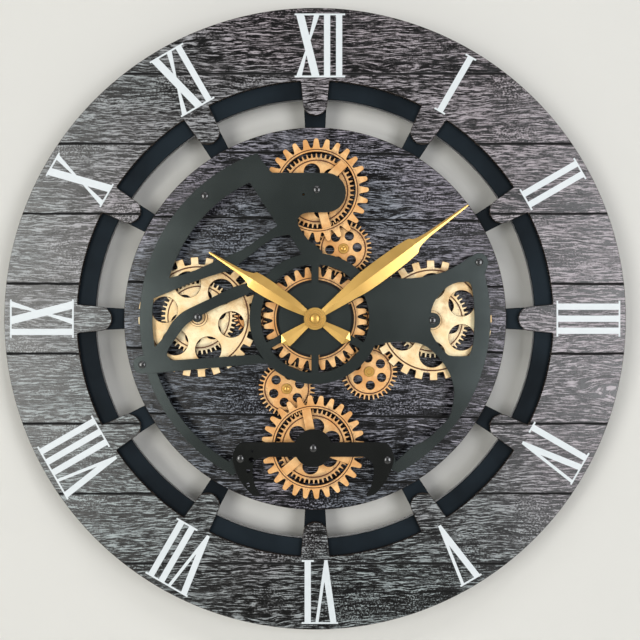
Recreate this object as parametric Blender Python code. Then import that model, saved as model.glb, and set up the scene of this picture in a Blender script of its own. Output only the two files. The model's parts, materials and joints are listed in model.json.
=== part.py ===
"""Round wall clock with an open train of turning gears in front of a plank-print disc.

The clock faces -Y, +Z is up and +X is the viewer's right. The wall is the plane y = 0
and the clock's axis is the line x = 0, z = 0. A distance called "out" is measured from
the wall towards the viewer, so a point at that distance lies at y = -out.
All sizes are in metres, written as millimetres times MM.
"""

import math

import bmesh
import bpy
from mathutils.geometry import tessellate_polygon

MM = 0.001

# Dial, frame and disc
DIAL_RADIUS = 300 * MM
DIAL_OPENING_RADIUS = 230 * MM
DIAL_THICKNESS = 6 * MM
HOURS = 12
TONGUE_TIP_RADIUS = 196.3 * MM
TONGUE_ROOT_HALF_WIDTH = 13.8 * MM
TONGUE_END_HALF_WIDTH = 11.8 * MM
DISC_RADIUS = 184.4 * MM
DISC_THICKNESS = 6 * MM
FRAME_STANDOFF = 20 * MM
FRAME_THICKNESS = 8 * MM
FRAME_RADIUS = 285 * MM
FRAME_WINDOW_OUTER = 213 * MM
FRAME_WINDOW_INNER = 178 * MM
FRAME_SPOKE_HALF_ANGLE = 3.05

# Roman numerals, printed a little proud of the dial
NUMERAL_INNER_RADIUS = 232.8 * MM
NUMERAL_HEIGHT = 61.6 * MM
NUMERAL_RELIEF = 0.4 * MM
NUMERAL_SERIF = 1.7 * MM
THICK_STROKE = 6.1 * MM
THIN_STROKE = 3.0 * MM
STROKE_PITCH = 11.6 * MM
# How far XII and VI stand to the right of the middle line; the other numerals less, III and IX not
NUMERAL_SHIFT = 4.6 * MM
X_WIDTH = 25.5 * MM
V_WIDTH = 23.5 * MM

# Clearances between pieces
SEAT_GAP = 0.3 * MM
RUNNING_GAP = 0.3 * MM
SCREW_GAP = 0.3 * MM

# Gear train
MODULE = 1.45 * MM
TOOTH_HEAD = 1.2 * MM
TOOTH_FOOT = 1.6 * MM
CENTRE_TEETH = 64
FINE_TEETH = 48
PINION_TEETH = 36
IDLER_TEETH = 21
RING_TEETH = 28
WHEEL_TEETH = 24
GEAR_STANDOFF = 3.0 * MM
GEAR_THICKNESS = 4.0 * MM
HUB_STEP = 1.2 * MM
WHEEL_THICKNESS = 4.0 * MM
COLLAR_HEIGHT = 1.2 * MM
RING_TIP_RADIUS = 49.6 * MM
RING_ROOT_RADIUS = 40.4 * MM
RING_OPENING_RADIUS = 37.0 * MM
STRAP_HALF_WIDTH = 4.5 * MM
WHEEL_TIP_RADIUS = 57.3 * MM
WHEEL_ROOT_RADIUS = 50.7 * MM
WHEEL_HOLE_RADIUS = 12.4 * MM
WHEEL_HOLE_CIRCLE = 32.5 * MM
FINE_HOLE_RADIUS = 7.7 * MM
FINE_HOLE_CIRCLE = 19.2 * MM
PINION_HOLE_RADIUS = 4.3 * MM
PINION_HOLE_CIRCLE = 13.2 * MM
IDLER_HOLE_RADIUS = 2.2 * MM
IDLER_HOLE_CIRCLE = 8.8 * MM
HUB_RADIUS = 8.0 * MM
WHEEL_COLLAR_RADIUS = 9.2 * MM
CENTRE_HUB_RADIUS = 12.0 * MM
SLEEVE_WALL = 1.1 * MM
CORE_OVERLAP = 0.8 * MM

# Where the train sits, seen from the front: distance from the clock's axis and angle
ASSEMBLY_TILT = -0.8
VERTICAL_AXLE_RADIUS = 122.5 * MM
DRIVE_PINION_ANGLE = -44.4

# Shafts, posts, pillars and their screws
AXLE_RADIUS = 3.0 * MM
POST_RADIUS = 2.5 * MM
POST_HEAD_RADIUS = 5.0 * MM
POST_HEAD_HEIGHT = 1.6 * MM
IDLER_HEAD_RADIUS = 4.0 * MM
IDLER_HEAD_HEIGHT = 0.7 * MM
PINION_BOSS_RADIUS = 5.6 * MM
STUD_RADIUS = 1.5 * MM
DRIVE_SHAFT_RADIUS = 2.3 * MM
PILLAR_RADIUS = 4.0 * MM
PILLAR_NECK_RADIUS = 2.6 * MM
# Each pillar's distance beyond the plate's rim, or from the clock's axis for the bridge's two, and its angle
RIM_PILLARS = {0: (-9.7, 131.9), 1: (3.3, 194.9), 4: (-1.7, 19.0)}
BRIDGE_PILLARS = {2: (150.0, 241.9), 3: (150.3, 297.2)}
SCREW_SHANK_RADIUS = 1.3 * MM
SCREW_REACH = 4.5 * MM
SCREW_HEAD_RADIUS = 3.6 * MM
SCREW_HEAD_HEIGHT = 1.6 * MM

# Front plates
PLATE_STANDOFF = 5.5 * MM
PLATE_THICKNESS = 2.0 * MM
STRAP_THICKNESS = 2.0 * MM
BRIDGE_THICKNESS = 1.5 * MM
PLATE_RIM_INSET = 2.75 * MM
BAND_WIDTH = 22.9 * MM
BAND_LOWER_WIDTH = 12.1 * MM
BAND_START = 109.1
BAND_STEP = 165.5
PLATE_RING_RADIUS = 62.1 * MM
PLATE_WINDOW_OUTER = 51.2 * MM
PLATE_WINDOW_INNER = 34.5 * MM
PLATE_SPOKE_HALF_WIDTH = 3.45 * MM
PLATE_WINDOW_FILLET = 2.6 * MM
TOP_LOBE_RADIUS = 18.7 * MM
TOP_LOBE_OFFSET = 8.8 * MM
PILLAR_LOBE_RADIUS = 8.7 * MM
FOOT_INSET = 1.2 * MM
LEFT_BOSS_RADIUS = 4.9 * MM
RIGHT_BOSS_RADIUS = 7.1 * MM
STRAP_OVERHANG = 1.8 * MM
STRAP_WIDTH = 9.5 * MM
BRIDGE_DISC_RADIUS = 18.0 * MM
BRIDGE_ARM_UPPER = 5.6 * MM
BRIDGE_ARM_LOWER = 8.3 * MM

# Hands
HAND_CLEARANCE = 2.5 * MM
HAND_SPACING = 1.0 * MM
HAND_RIDGE = 2.0 * MM
HAND_EDGE = 0.8 * MM
HAND_COLLAR_RADIUS = 10.5 * MM
MINUTE_HAND_ANGLE = 36.6
HOUR_HAND_ANGLE = 147.9
MINUTE_HAND_LENGTH = 178.8 * MM
HOUR_HAND_LENGTH = 117.7 * MM
HAND_TAIL_LENGTH = 39.0 * MM
NUT_RADIUS = 4.7 * MM
NUT_HEIGHT = 2.2 * MM

# Clock movement
BUSH_RADIUS = 5.0 * MM
PIPE_RADIUS = 3.0 * MM
ARBOR_RADIUS = 1.7 * MM
CASE_HALF_WIDTH = 28 * MM
CASE_WALL = 1.5 * MM
MOTION_DISTANCE = 12 * MM
CANNON_TEETH = 10
MINUTE_WHEEL_TEETH = 30
MINUTE_PINION_TEETH = 8
HOUR_WHEEL_TEETH = 32
MOTION_TOOTH_HEAD = 0.5 * MM
MOTION_TOOTH_FOOT = 0.75 * MM
KNOB_RADIUS = 4.5 * MM

# Rear housing, motor, cells and wall parts
HOUSING_RADIUS = 105 * MM
HOUSING_WALL = 2.2 * MM
HOUSING_FLOOR = 2.4 * MM
CELL_RADIUS = 7.1 * MM
CELL_LENGTH = 50.4 * MM
GEAR_CELL_HEIGHT = -39 * MM
DOOR_THICKNESS = 0.9 * MM
DOOR_WIDTH = 60 * MM
DOOR_TOP = -8.5 * MM
DOOR_BOTTOM = -50.5 * MM
DOOR_LEDGE = 3.2 * MM
DOOR_TRAVEL = 8 * MM
MOTOR_RADIUS = 18 * MM
MOTOR_DEPTH = 15.7 * MM
HANGER_HEIGHT = 150 * MM
HANGER_HALF_WIDTH = 20 * MM
HANGER_HALF_HEIGHT = 11 * MM
HANGER_THICKNESS = 1.5 * MM
HANGER_RISE = 5.5 * MM
HANGER_FLANGE = 7.5 * MM
KEYHOLE_RADIUS = 4.5 * MM
KEYHOLE_SLOT = 2.0 * MM
BUMPER_RADIUS = 8 * MM
BUMPER_INSET = 23.0 * MM
BUMPER_ANGLES = {"left": 232.0, "right": 308.0}

# Smoothness of round pieces, in segments
LARGE_SIDES = 72
MEDIUM_SIDES = 20
SMALL_SIDES = 12
HOLE_SIDES = 10
PIN_SIDES = 8


# The stack of layers, each worked out from the one behind it

frame_back = FRAME_STANDOFF
frame_front = frame_back + FRAME_THICKNESS
dial_back = frame_front + SEAT_GAP
dial_front = dial_back + DIAL_THICKNESS
disc_front = dial_back + DISC_THICKNESS
boss_back = disc_front + SEAT_GAP
gear_back = disc_front + GEAR_STANDOFF
gear_front = gear_back + GEAR_THICKNESS
hub_front = gear_front + HUB_STEP
wheel_back = hub_front + SEAT_GAP
wheel_front = wheel_back + WHEEL_THICKNESS
collar_front = wheel_front + COLLAR_HEIGHT
plate_back = wheel_front + PLATE_STANDOFF
plate_front = plate_back + PLATE_THICKNESS
strap_front = plate_back - SEAT_GAP
strap_back = strap_front - STRAP_THICKNESS
bridge_back = plate_front + SEAT_GAP
bridge_front = bridge_back + BRIDGE_THICKNESS
hour_back = bridge_front + HAND_CLEARANCE
hour_front = hour_back + HAND_RIDGE
minute_back = hour_front + HAND_SPACING
minute_front = minute_back + HAND_RIDGE
case_back = HOUSING_FLOOR + SEAT_GAP
case_front = frame_back - SEAT_GAP


# Small helpers for points seen from the front, as (x, z) pairs

def polar(radius, degrees, centre=(0.0, 0.0)):
    """The point at this distance and angle from a centre, counted from +X towards +Z."""
    angle = math.radians(degrees)
    return (centre[0] + radius * math.cos(angle), centre[1] + radius * math.sin(angle))


def arc(radius, start, end, steps, centre=(0.0, 0.0)):
    """Points along an arc, both ends included."""
    return [polar(radius, start + (end - start) * n / steps, centre) for n in range(steps + 1)]


def circle(radius, segments, centre=(0.0, 0.0), phase=0.0):
    return arc(radius, phase, phase + 360, segments, centre)[:-1]


def in_mm(*pairs):
    """Outline points that are written in millimetres, in metres."""
    return [(x * MM, z * MM) for x, z in pairs]


def moved(points, centre):
    return [(x + centre[0], z + centre[1]) for x, z in points]


def scaled(points, share):
    return [(x * share, z * share) for x, z in points]


def turned_by(points, degrees):
    """Points turned about (0, 0)."""
    cosine = math.cos(math.radians(degrees))
    sine = math.sin(math.radians(degrees))
    return [(x * cosine - z * sine, x * sine + z * cosine) for x, z in points]


def smooth(points, steps=2):
    """A curve through every point (Catmull-Rom), with this many steps between neighbours."""
    curve = []
    for n in range(len(points) - 1):
        before = points[max(n - 1, 0)]
        start = points[n]
        end = points[n + 1]
        after = points[min(n + 2, len(points) - 1)]
        for k in range(steps):
            t = k / steps
            curve.append(tuple(
                0.5 * (2 * b + (c - a) * t + (2 * a - 5 * b + 4 * c - d) * t * t
                       + (3 * b - a - 3 * c + d) * t ** 3)
                for a, b, c, d in zip(before, start, end, after)))
    return curve + [points[-1]]


def rounded(outline, radius, steps=2, corner=25.0):
    """The outline with each corner sharper than this many degrees cut to a small curve."""
    result = []
    count = len(outline)
    for n in range(count):
        before, here, after = outline[n - 1], outline[n], outline[(n + 1) % count]
        back = (before[0] - here[0], before[1] - here[1])
        ahead = (after[0] - here[0], after[1] - here[1])
        back_length = math.hypot(*back)
        ahead_length = math.hypot(*ahead)
        cosine = (back[0] * ahead[0] + back[1] * ahead[1]) / (back_length * ahead_length)
        turn = 180 - math.degrees(math.acos(max(-1.0, min(1.0, cosine))))
        if turn < corner:
            result.append(here)
            continue
        reach = min(radius, 0.45 * back_length, 0.45 * ahead_length)
        start = (here[0] + back[0] / back_length * reach, here[1] + back[1] / back_length * reach)
        end = (here[0] + ahead[0] / ahead_length * reach, here[1] + ahead[1] / ahead_length * reach)
        for k in range(steps + 1):
            t = k / steps
            result.append(tuple((1 - t) ** 2 * a + 2 * t * (1 - t) * b + t * t * c
                                for a, b, c in zip(start, here, end)))
    return result


def window(inner, outer, start, end, half_width, steps):
    """The gap between two parallel-sided spokes whose centre lines are at start and end."""
    far = math.degrees(math.asin(half_width / outer))
    near = math.degrees(math.asin(half_width / inner))
    return arc(outer, start + far, end - far, steps) + arc(inner, end - near, start + near, steps)


def toothed(teeth, profile, phase):
    """A gear's outline from one tooth's points, each a share of the pitch and a radius."""
    pitch = 360 / teeth
    return [polar(radius, phase + (n + share) * pitch) for n in range(teeth) for share, radius in profile]


def fine_outline(teeth, phase, module=MODULE, head=TOOTH_HEAD, foot=TOOTH_FOOT):
    """Narrow-topped teeth with V-shaped gaps between, thin enough to leave backlash."""
    pitch_radius = module * teeth / 2
    tip = pitch_radius + head
    return toothed(teeth, ((-0.05, tip), (0.05, tip), (0.5, pitch_radius - foot)), phase)


# Helpers that make solids

def new_object(name, mesh, centre=(0.0, 0.0)):
    """An object whose origin is on its own axis, at the wall."""
    mesh.update()
    thing = bpy.data.objects.new(name, mesh)
    thing.location = (centre[0], 0.0, centre[1])
    bpy.context.scene.collection.objects.link(thing)
    return thing


def mesh_from(bm, name):
    bmesh.ops.recalc_face_normals(bm, faces=bm.faces)
    mesh = bpy.data.meshes.new(name)
    bm.to_mesh(mesh)
    bm.free()
    return mesh


def prism(name, outline, back, front, holes=(), centre=(0.0, 0.0)):
    """A flat piece cut to an outline, with holes, between two distances from the wall."""
    loops = [list(outline)] + [list(hole) for hole in holes]
    flat = [point for loop in loops for point in loop]
    triangles = tessellate_polygon([[(x, z, 0.0) for x, z in loop] for loop in loops])
    bm = bmesh.new()
    rear = [bm.verts.new((x, -back, z)) for x, z in flat]
    fore = [bm.verts.new((x, -front, z)) for x, z in flat]
    for a, b, c in triangles:
        bm.faces.new((rear[a], rear[b], rear[c]))
        bm.faces.new((fore[c], fore[b], fore[a]))
    first = 0
    for loop in loops:
        for n in range(len(loop)):
            a = first + n
            b = first + (n + 1) % len(loop)
            bm.faces.new((rear[a], rear[b], fore[b], fore[a]))
        first += len(loop)
    return new_object(name, mesh_from(bm, name), centre)


def turned(name, profile, segments, centre=(0.0, 0.0)):
    """A turned piece: a closed profile of (radius, out) points spun about its own axis.

    A profile that starts and ends at radius 0 is solid at its middle; any other is a tube.
    """
    bm = bmesh.new()
    rings = []
    for radius, out in profile:
        if radius == 0:
            rings.append([bm.verts.new((0.0, -out, 0.0))] * segments)
        else:
            rings.append([bm.verts.new((x, -out, z)) for x, z in circle(radius, segments)])
    solid = profile[0][0] == 0 and profile[-1][0] == 0
    for n in range(len(profile) - 1 if solid else len(profile)):
        one = rings[n]
        two = rings[(n + 1) % len(profile)]
        for k in range(segments):
            m = (k + 1) % segments
            corners = []
            for vertex in (one[k], one[m], two[m], two[k]):
                if vertex not in corners:
                    corners.append(vertex)
            bm.faces.new(corners)
    return new_object(name, mesh_from(bm, name), centre)


def block(name, low, high):
    """A box from its lowest to its highest corner, each (x, out, z)."""
    outline = [(low[0], low[2]), (high[0], low[2]), (high[0], high[2]), (low[0], high[2])]
    return prism(name, outline, low[1], high[1])


def boolean(body, tool, operation):
    """Apply one Boolean to a body and remove the tool."""
    modifier = body.modifiers.new(operation.title(), "BOOLEAN")
    modifier.operation = operation
    modifier.solver = "EXACT"
    modifier.object = tool
    graph = bpy.context.evaluated_depsgraph_get()
    made = bpy.data.meshes.new_from_object(body.evaluated_get(graph))
    body.modifiers.clear()
    worn = body.data
    body.data = made
    bpy.data.meshes.remove(worn)
    used = tool.data
    bpy.data.objects.remove(tool)
    bpy.data.meshes.remove(used)
    return body


def fuse(body, *tools):
    for tool in tools:
        boolean(body, tool, "UNION")
    return body


def cut(body, *tools):
    for tool in tools:
        boolean(body, tool, "DIFFERENCE")
    return body


# Finishes

FINISHES = {
    "plank_print": ((0.16, 0.15, 0.15), 0.55, 0.0),
    "dark_plank_print": ((0.09, 0.08, 0.09), 0.5, 0.0),
    "charcoal_board": ((0.022, 0.03, 0.042), 0.6, 0.0),
    "plate_paint": ((0.035, 0.045, 0.043), 0.38, 0.3),
    "bridge_paint": ((0.014, 0.015, 0.016), 0.4, 0.3),
    "aged_copper": ((0.78, 0.45, 0.22), 0.42, 0.7),
    "pale_brass": ((0.9, 0.68, 0.4), 0.38, 0.7),
    "gold": ((0.78, 0.5, 0.15), 0.35, 0.6),
    "brass": ((0.8, 0.58, 0.2), 0.25, 1.0),
    "black_steel": ((0.03, 0.03, 0.032), 0.25, 0.9),
    "steel": ((0.45, 0.45, 0.46), 0.3, 1.0),
    "black_plastic": ((0.02, 0.02, 0.022), 0.5, 0.0),
    "white_plastic": ((0.75, 0.75, 0.72), 0.45, 0.0),
    "cell_sleeve": ((0.1, 0.2, 0.12), 0.35, 0.2),
    "rubber": ((0.03, 0.03, 0.03), 0.8, 0.0),
}


def make_material(name):
    colour, roughness, metallic = FINISHES[name]
    material = bpy.data.materials.new(name)
    material.use_nodes = True
    shader = material.node_tree.nodes["Principled BSDF"]
    shader.inputs["Base Color"].default_value = (*colour, 1.0)
    shader.inputs["Roughness"].default_value = roughness
    shader.inputs["Metallic"].default_value = metallic
    material.diffuse_color = (*colour, 1.0)
    return material


def finish(thing, material):
    """Give a finished piece its material, smooth rounds and crisp edges."""
    thing.data.materials.clear()
    thing.data.materials.append(bpy.data.materials[material])
    thing.data.shade_smooth()
    thing.data.set_sharp_from_angle(angle=math.radians(32))
    return thing


# Where the axles, pinions and pillars stand

def mesh_distance(one, other, module=MODULE):
    return module * (one + other) / 2


def meshing_place(near, far, near_distance, far_distance, side):
    """The point at given distances from two centres, on the chosen side of the line between."""
    span = math.dist(near, far)
    along = (near_distance ** 2 - far_distance ** 2 + span ** 2) / (2 * span)
    across = math.sqrt(max(near_distance ** 2 - along ** 2, 0.0)) * side
    ux = (far[0] - near[0]) / span
    uz = (far[1] - near[1]) / span
    return (near[0] + ux * along - uz * across, near[1] + uz * along + ux * across)


def meshing_phase(near, near_teeth, near_phase, far, far_teeth):
    """The phase of the far gear whose gap meets the near gear's tooth on their centre line."""
    bearing = math.degrees(math.atan2(far[1] - near[1], far[0] - near[0]))
    share = ((bearing - near_phase) * near_teeth / 360) % 1.0
    return bearing + 180 - (0.5 - share) * 360 / far_teeth


CENTRE = (0.0, 0.0)
side_radius = mesh_distance(CENTRE_TEETH, IDLER_TEETH) + mesh_distance(IDLER_TEETH, FINE_TEETH)
AXLES = {
    "top": polar(VERTICAL_AXLE_RADIUS, 90 + ASSEMBLY_TILT),
    "bottom": polar(VERTICAL_AXLE_RADIUS, 270 + ASSEMBLY_TILT),
    "left": polar(side_radius, 180 + ASSEMBLY_TILT),
    "right": polar(side_radius, ASSEMBLY_TILT),
}
pinion_reach = mesh_distance(CENTRE_TEETH, PINION_TEETH)
pinion_to_fine = mesh_distance(PINION_TEETH, FINE_TEETH)
PINIONS = {
    "upper_pinion": meshing_place(CENTRE, AXLES["top"], pinion_reach, pinion_to_fine, -1),
    "lower_left_pinion": meshing_place(CENTRE, AXLES["bottom"], pinion_reach, pinion_to_fine, -1),
    "drive_pinion": polar(pinion_reach, DRIVE_PINION_ANGLE),
}
idler_reach = mesh_distance(CENTRE_TEETH, IDLER_TEETH)
IDLERS = {
    "left_idler": polar(idler_reach, 180 + ASSEMBLY_TILT),
    "right_idler": polar(idler_reach, ASSEMBLY_TILT),
}
# The plate's rim ends a little inside the side wheels' teeth; its outlines are drawn for 166.2 mm
plate_radius = side_radius + WHEEL_TIP_RADIUS - PLATE_RIM_INSET
plate_stretch = plate_radius / (166.2 * MM)
pillar_radius = {n: plate_radius + beyond * MM for n, (beyond, angle) in RIM_PILLARS.items()}
pillar_radius.update({n: radius * MM for n, (radius, angle) in BRIDGE_PILLARS.items()})
pillar_angle = {n: place[1] for n, place in list(RIM_PILLARS.items()) + list(BRIDGE_PILLARS.items())}
PILLARS = [polar(pillar_radius[n], pillar_angle[n]) for n in range(len(pillar_radius))]

CENTRE_PHASE = 1.1
pinion_phase = {
    name: meshing_phase(CENTRE, CENTRE_TEETH, CENTRE_PHASE, place, PINION_TEETH)
    for name, place in PINIONS.items()
}
idler_phase = {
    name: meshing_phase(CENTRE, CENTRE_TEETH, CENTRE_PHASE, place, IDLER_TEETH)
    for name, place in IDLERS.items()
}
FINE_DRIVERS = {
    "top": ("upper_pinion", PINIONS, pinion_phase, PINION_TEETH),
    "bottom": ("lower_left_pinion", PINIONS, pinion_phase, PINION_TEETH),
    "left": ("left_idler", IDLERS, idler_phase, IDLER_TEETH),
    "right": ("right_idler", IDLERS, idler_phase, IDLER_TEETH),
}


def fine_phase(side):
    driver, places, phases, teeth = FINE_DRIVERS[side]
    return meshing_phase(places[driver], teeth, phases[driver], AXLES[side], FINE_TEETH)


# Holes that follow what passes through them

def stud_hole(place):
    return circle(STUD_RADIUS + RUNNING_GAP, PIN_SIDES, place)


def axle_hole(place):
    return circle(AXLE_RADIUS + RUNNING_GAP, HOLE_SIDES, place)


def screw_hole(place):
    return circle(SCREW_SHANK_RADIUS + SCREW_GAP, PIN_SIDES, place)


bush_hole = circle(BUSH_RADIUS + RUNNING_GAP, SMALL_SIDES)
shaft_hole = circle(DRIVE_SHAFT_RADIUS + RUNNING_GAP, HOLE_SIDES, PINIONS["drive_pinion"])


# Dial ring, with twelve tongues that point at the centre

def dial_opening():
    """The inner edge: arcs of the opening between tongues with round ends."""
    outline = []
    root_angle = math.degrees(math.asin(TONGUE_ROOT_HALF_WIDTH / DIAL_OPENING_RADIUS))
    end_centre = TONGUE_TIP_RADIUS + TONGUE_END_HALF_WIDTH
    step = 360 / HOURS
    for hour in range(HOURS):
        angle = hour * step
        tip = arc(TONGUE_END_HALF_WIDTH, -90, -270, 6, (end_centre, 0.0))
        outline += turned_by(tip, angle)
        outline += arc(DIAL_OPENING_RADIUS, angle + root_angle, angle + step - root_angle, 5)
    return outline


def bar(left, right, low, high):
    return [(left, low), (right, low), (right, high), (left, high)]


# Strokes end inside the serif bars, so that no two sides of a numeral share a plane
stroke_foot = 0.5 * NUMERAL_SERIF
stroke_head = NUMERAL_HEIGHT - 0.5 * NUMERAL_SERIF
stroke_side = 0.25 * (STROKE_PITCH - THICK_STROKE)


def i_strokes(left):
    middle = left + STROKE_PITCH / 2
    half = THICK_STROKE / 2
    return [bar(middle - half, middle + half, stroke_foot, stroke_head)]


def v_strokes(left):
    """One outline: a thick left leg and a thin right leg that meet in a small flat point."""
    low = left + stroke_side
    high = left + V_WIDTH - 0.5 * THIN_STROKE
    point = 0.5 * (low + high)
    flat = 0.5 * THIN_STROKE
    share = (THICK_STROKE + THIN_STROKE - 2 * flat) / (high - low - 2 * flat)
    notch = (point + flat - THIN_STROKE + (high - point - flat) * share, share * stroke_head)
    return [[(low, stroke_head), (low + THICK_STROKE, stroke_head), notch, (high - THIN_STROKE, stroke_head),
             (high, stroke_head), (point + flat, 0.0), (point - flat, 0.0)]]


def x_strokes(left):
    """A thick stroke down to the right and a thin one that is narrowest where they cross."""
    wide = 1.25 * THICK_STROKE
    low = left + stroke_side
    high = left + X_WIDTH - stroke_side
    middle = 0.5 * (stroke_foot + stroke_head)
    centre = 0.5 * (low + high)
    narrow = 0.25 * THIN_STROKE
    ends = 1.8 * THIN_STROKE
    thick = [(low, stroke_head), (low + wide, stroke_head), (high, stroke_foot), (high - wide, stroke_foot)]
    thin = [(high - ends, stroke_head), (high, stroke_head), (centre + narrow, middle),
            (low + ends, stroke_foot),
            (low, stroke_foot), (centre - narrow, middle)]
    return [thick, thin]


LETTERS = {"I": (i_strokes, STROKE_PITCH), "V": (v_strokes, V_WIDTH), "X": (x_strokes, X_WIDTH)}


def numeral_strokes(numeral):
    """Every stroke of a numeral about its own middle, with a serif bar over it and under each I and X."""
    strokes = []
    left = 0.0
    foot = None
    for letter in numeral:
        make, width = LETTERS[letter]
        strokes += make(left)
        if letter == "V" and foot is not None:
            strokes.append(bar(foot, left, 0.0, NUMERAL_SERIF))
            foot = None
        elif letter != "V" and foot is None:
            foot = left
        left += width
    if foot is not None:
        strokes.append(bar(foot, left, 0.0, NUMERAL_SERIF))
    strokes.append(bar(0.0, left, NUMERAL_HEIGHT - NUMERAL_SERIF, NUMERAL_HEIGHT))
    return [[(x - left / 2, z) for x, z in points] for points in strokes]


NUMERALS = ("XII", "I", "II", "III", "IV", "V", "VI", "VII", "VIII", "IX", "X", "XI")


def make_dial_ring():
    """The numerals near the top and the bottom stand a little to the right, as they are printed."""
    ring = prism("dial_ring", circle(DIAL_RADIUS, LARGE_SIDES), dial_back, dial_front, [dial_opening()])
    for hour, numeral in enumerate(NUMERALS):
        raised = None
        angle = -hour * 360 / HOURS
        shift = NUMERAL_SHIFT * math.cos(math.radians(angle))
        for points in numeral_strokes(numeral):
            lifted = turned_by([(x + shift, z + NUMERAL_INNER_RADIUS) for x, z in points], angle)
            piece = prism("stroke", lifted, dial_front - NUMERAL_RELIEF, dial_front + NUMERAL_RELIEF)
            raised = fuse(raised, piece) if raised else piece
        fuse(ring, raised)
    return finish(ring, "plank_print")


# Back frame: the dark board ring, its spokes and hub

def make_back_frame():
    step = 360 / HOURS
    windows = []
    for hour in range(HOURS):
        start = hour * step + FRAME_SPOKE_HALF_ANGLE
        end = (hour + 1) * step - FRAME_SPOKE_HALF_ANGLE
        windows.append(arc(FRAME_WINDOW_OUTER, start, end, 5) + arc(FRAME_WINDOW_INNER, end, start, 2))
    frame = prism("back_frame", circle(FRAME_RADIUS, LARGE_SIDES, phase=360 / LARGE_SIDES / 2),
                  frame_back, frame_front, windows + [bush_hole, shaft_hole])
    return finish(frame, "charcoal_board")


def make_centre_disc():
    holes = [bush_hole, shaft_hole]
    holes += [axle_hole(place) for place in AXLES.values()]
    holes += [stud_hole(place) for place in PILLARS]
    holes += [stud_hole(PINIONS[name]) for name in ("upper_pinion", "lower_left_pinion")]
    holes += [stud_hole(place) for place in IDLERS.values()]
    disc = prism("centre_disc", circle(DISC_RADIUS, LARGE_SIDES), dial_back, disc_front, holes)
    return finish(disc, "dark_plank_print")


# Gears of the train

def hub_tube(bore, radius, back, front, centre, segments=SMALL_SIDES):
    return turned("hub", [(bore, back), (radius, back), (radius, front), (bore, front)], segments, centre)


def ring_of_holes(count, radius, circle_radius, phase, segments=HOLE_SIDES):
    return [circle(radius, segments, polar(circle_radius, phase + n * 360 / count)) for n in range(count)]


def core_hole(bore, segments=SMALL_SIDES):
    """The middle of a gear blank, which its hub then fills to the bore."""
    return circle(bore + CORE_OVERLAP, segments, phase=180 / segments)


FINE_HOLE_PHASES = {"top": 104.5, "bottom": 82.0, "left": 15.0, "right": 45.0}


def make_fine_gear(side):
    """The fine-toothed gear that carries a wheel, with a boss behind and a step in front."""
    bore = AXLE_RADIUS + RUNNING_GAP
    place = AXLES[side]
    holes = ring_of_holes(6, FINE_HOLE_RADIUS, FINE_HOLE_CIRCLE, FINE_HOLE_PHASES[side])
    gear = prism(f"{side}_fine_gear", fine_outline(FINE_TEETH, fine_phase(side)), gear_back, gear_front,
                 holes + [core_hole(bore)], place)
    fuse(gear, hub_tube(bore, HUB_RADIUS, boss_back, hub_front, place))
    return finish(gear, "aged_copper")


def ring_outline(phase):
    profile = ((-0.36, RING_ROOT_RADIUS), (-0.1, RING_TIP_RADIUS), (0.1, RING_TIP_RADIUS),
               (0.36, RING_ROOT_RADIUS))
    return toothed(RING_TEETH, profile, phase)


def make_ring_gear(name, place, phase, strap_angle, bore, hub_radius, sleeve_radius):
    """A coarse-toothed ring on three flat straps, with a sleeve that spaces it from the plate."""
    windows = [
        window(hub_radius, RING_OPENING_RADIUS, strap_angle + n * 120, strap_angle + (n + 1) * 120,
               STRAP_HALF_WIDTH, 7)
        for n in range(3)
    ]
    gear = prism(name, ring_outline(phase), wheel_back, wheel_front, windows + [core_hole(bore)], place)
    fuse(gear, hub_tube(bore, sleeve_radius, wheel_back, plate_back - SEAT_GAP, place))
    return finish(gear, "aged_copper")


def make_wheel(side, phase, hole_phase):
    """A square-toothed wheel with six round holes and a raised collar."""
    bore = AXLE_RADIUS + RUNNING_GAP
    place = AXLES[side]
    profile = ((-0.28, WHEEL_ROOT_RADIUS), (-0.22, WHEEL_TIP_RADIUS), (0.22, WHEEL_TIP_RADIUS),
               (0.28, WHEEL_ROOT_RADIUS))
    holes = ring_of_holes(6, WHEEL_HOLE_RADIUS, WHEEL_HOLE_CIRCLE, hole_phase, SMALL_SIDES)
    wheel = prism(f"{side}_wheel", toothed(WHEEL_TEETH, profile, phase), wheel_back, wheel_front,
                  holes + [core_hole(bore)], place)
    sleeve = bore + SLEEVE_WALL
    collar = turned("collar", [
        (bore, wheel_back + 0.5 * MM), (WHEEL_COLLAR_RADIUS, wheel_back + 0.5 * MM),
        (WHEEL_COLLAR_RADIUS, collar_front), (sleeve, collar_front), (sleeve, plate_back - SEAT_GAP),
        (bore, plate_back - SEAT_GAP)], SMALL_SIDES, place)
    # The bore runs right through, behind the collar too
    fuse(wheel, collar)
    cut(wheel, turned("bore", [(0, wheel_back - MM), (bore, wheel_back - MM), (bore, plate_back),
                               (0, plate_back)], SMALL_SIDES, place))
    return finish(wheel, "pale_brass")


def make_centre_drive_gear():
    bore = BUSH_RADIUS + RUNNING_GAP
    gear = prism("centre_drive_gear", fine_outline(CENTRE_TEETH, CENTRE_PHASE), gear_back, gear_front,
                 [core_hole(bore)])
    fuse(gear, hub_tube(bore, CENTRE_HUB_RADIUS, boss_back, hub_front, CENTRE))
    return finish(gear, "aged_copper")


def make_small_gear(name, place, teeth, phase, hole_radius, hole_circle, hole_phase):
    """A pinion or idler that turns on a post, with a boss that rests near the disc."""
    bore = POST_RADIUS + RUNNING_GAP
    holes = ring_of_holes(6, hole_radius, hole_circle, hole_phase, PIN_SIDES)
    holes = holes + [core_hole(bore, HOLE_SIDES)]
    gear = prism(name, fine_outline(teeth, phase), gear_back, gear_front, holes,
                 place)
    fuse(gear, hub_tube(bore, PINION_BOSS_RADIUS, boss_back, gear_front, place, HOLE_SIDES))
    return finish(gear, "aged_copper")


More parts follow.
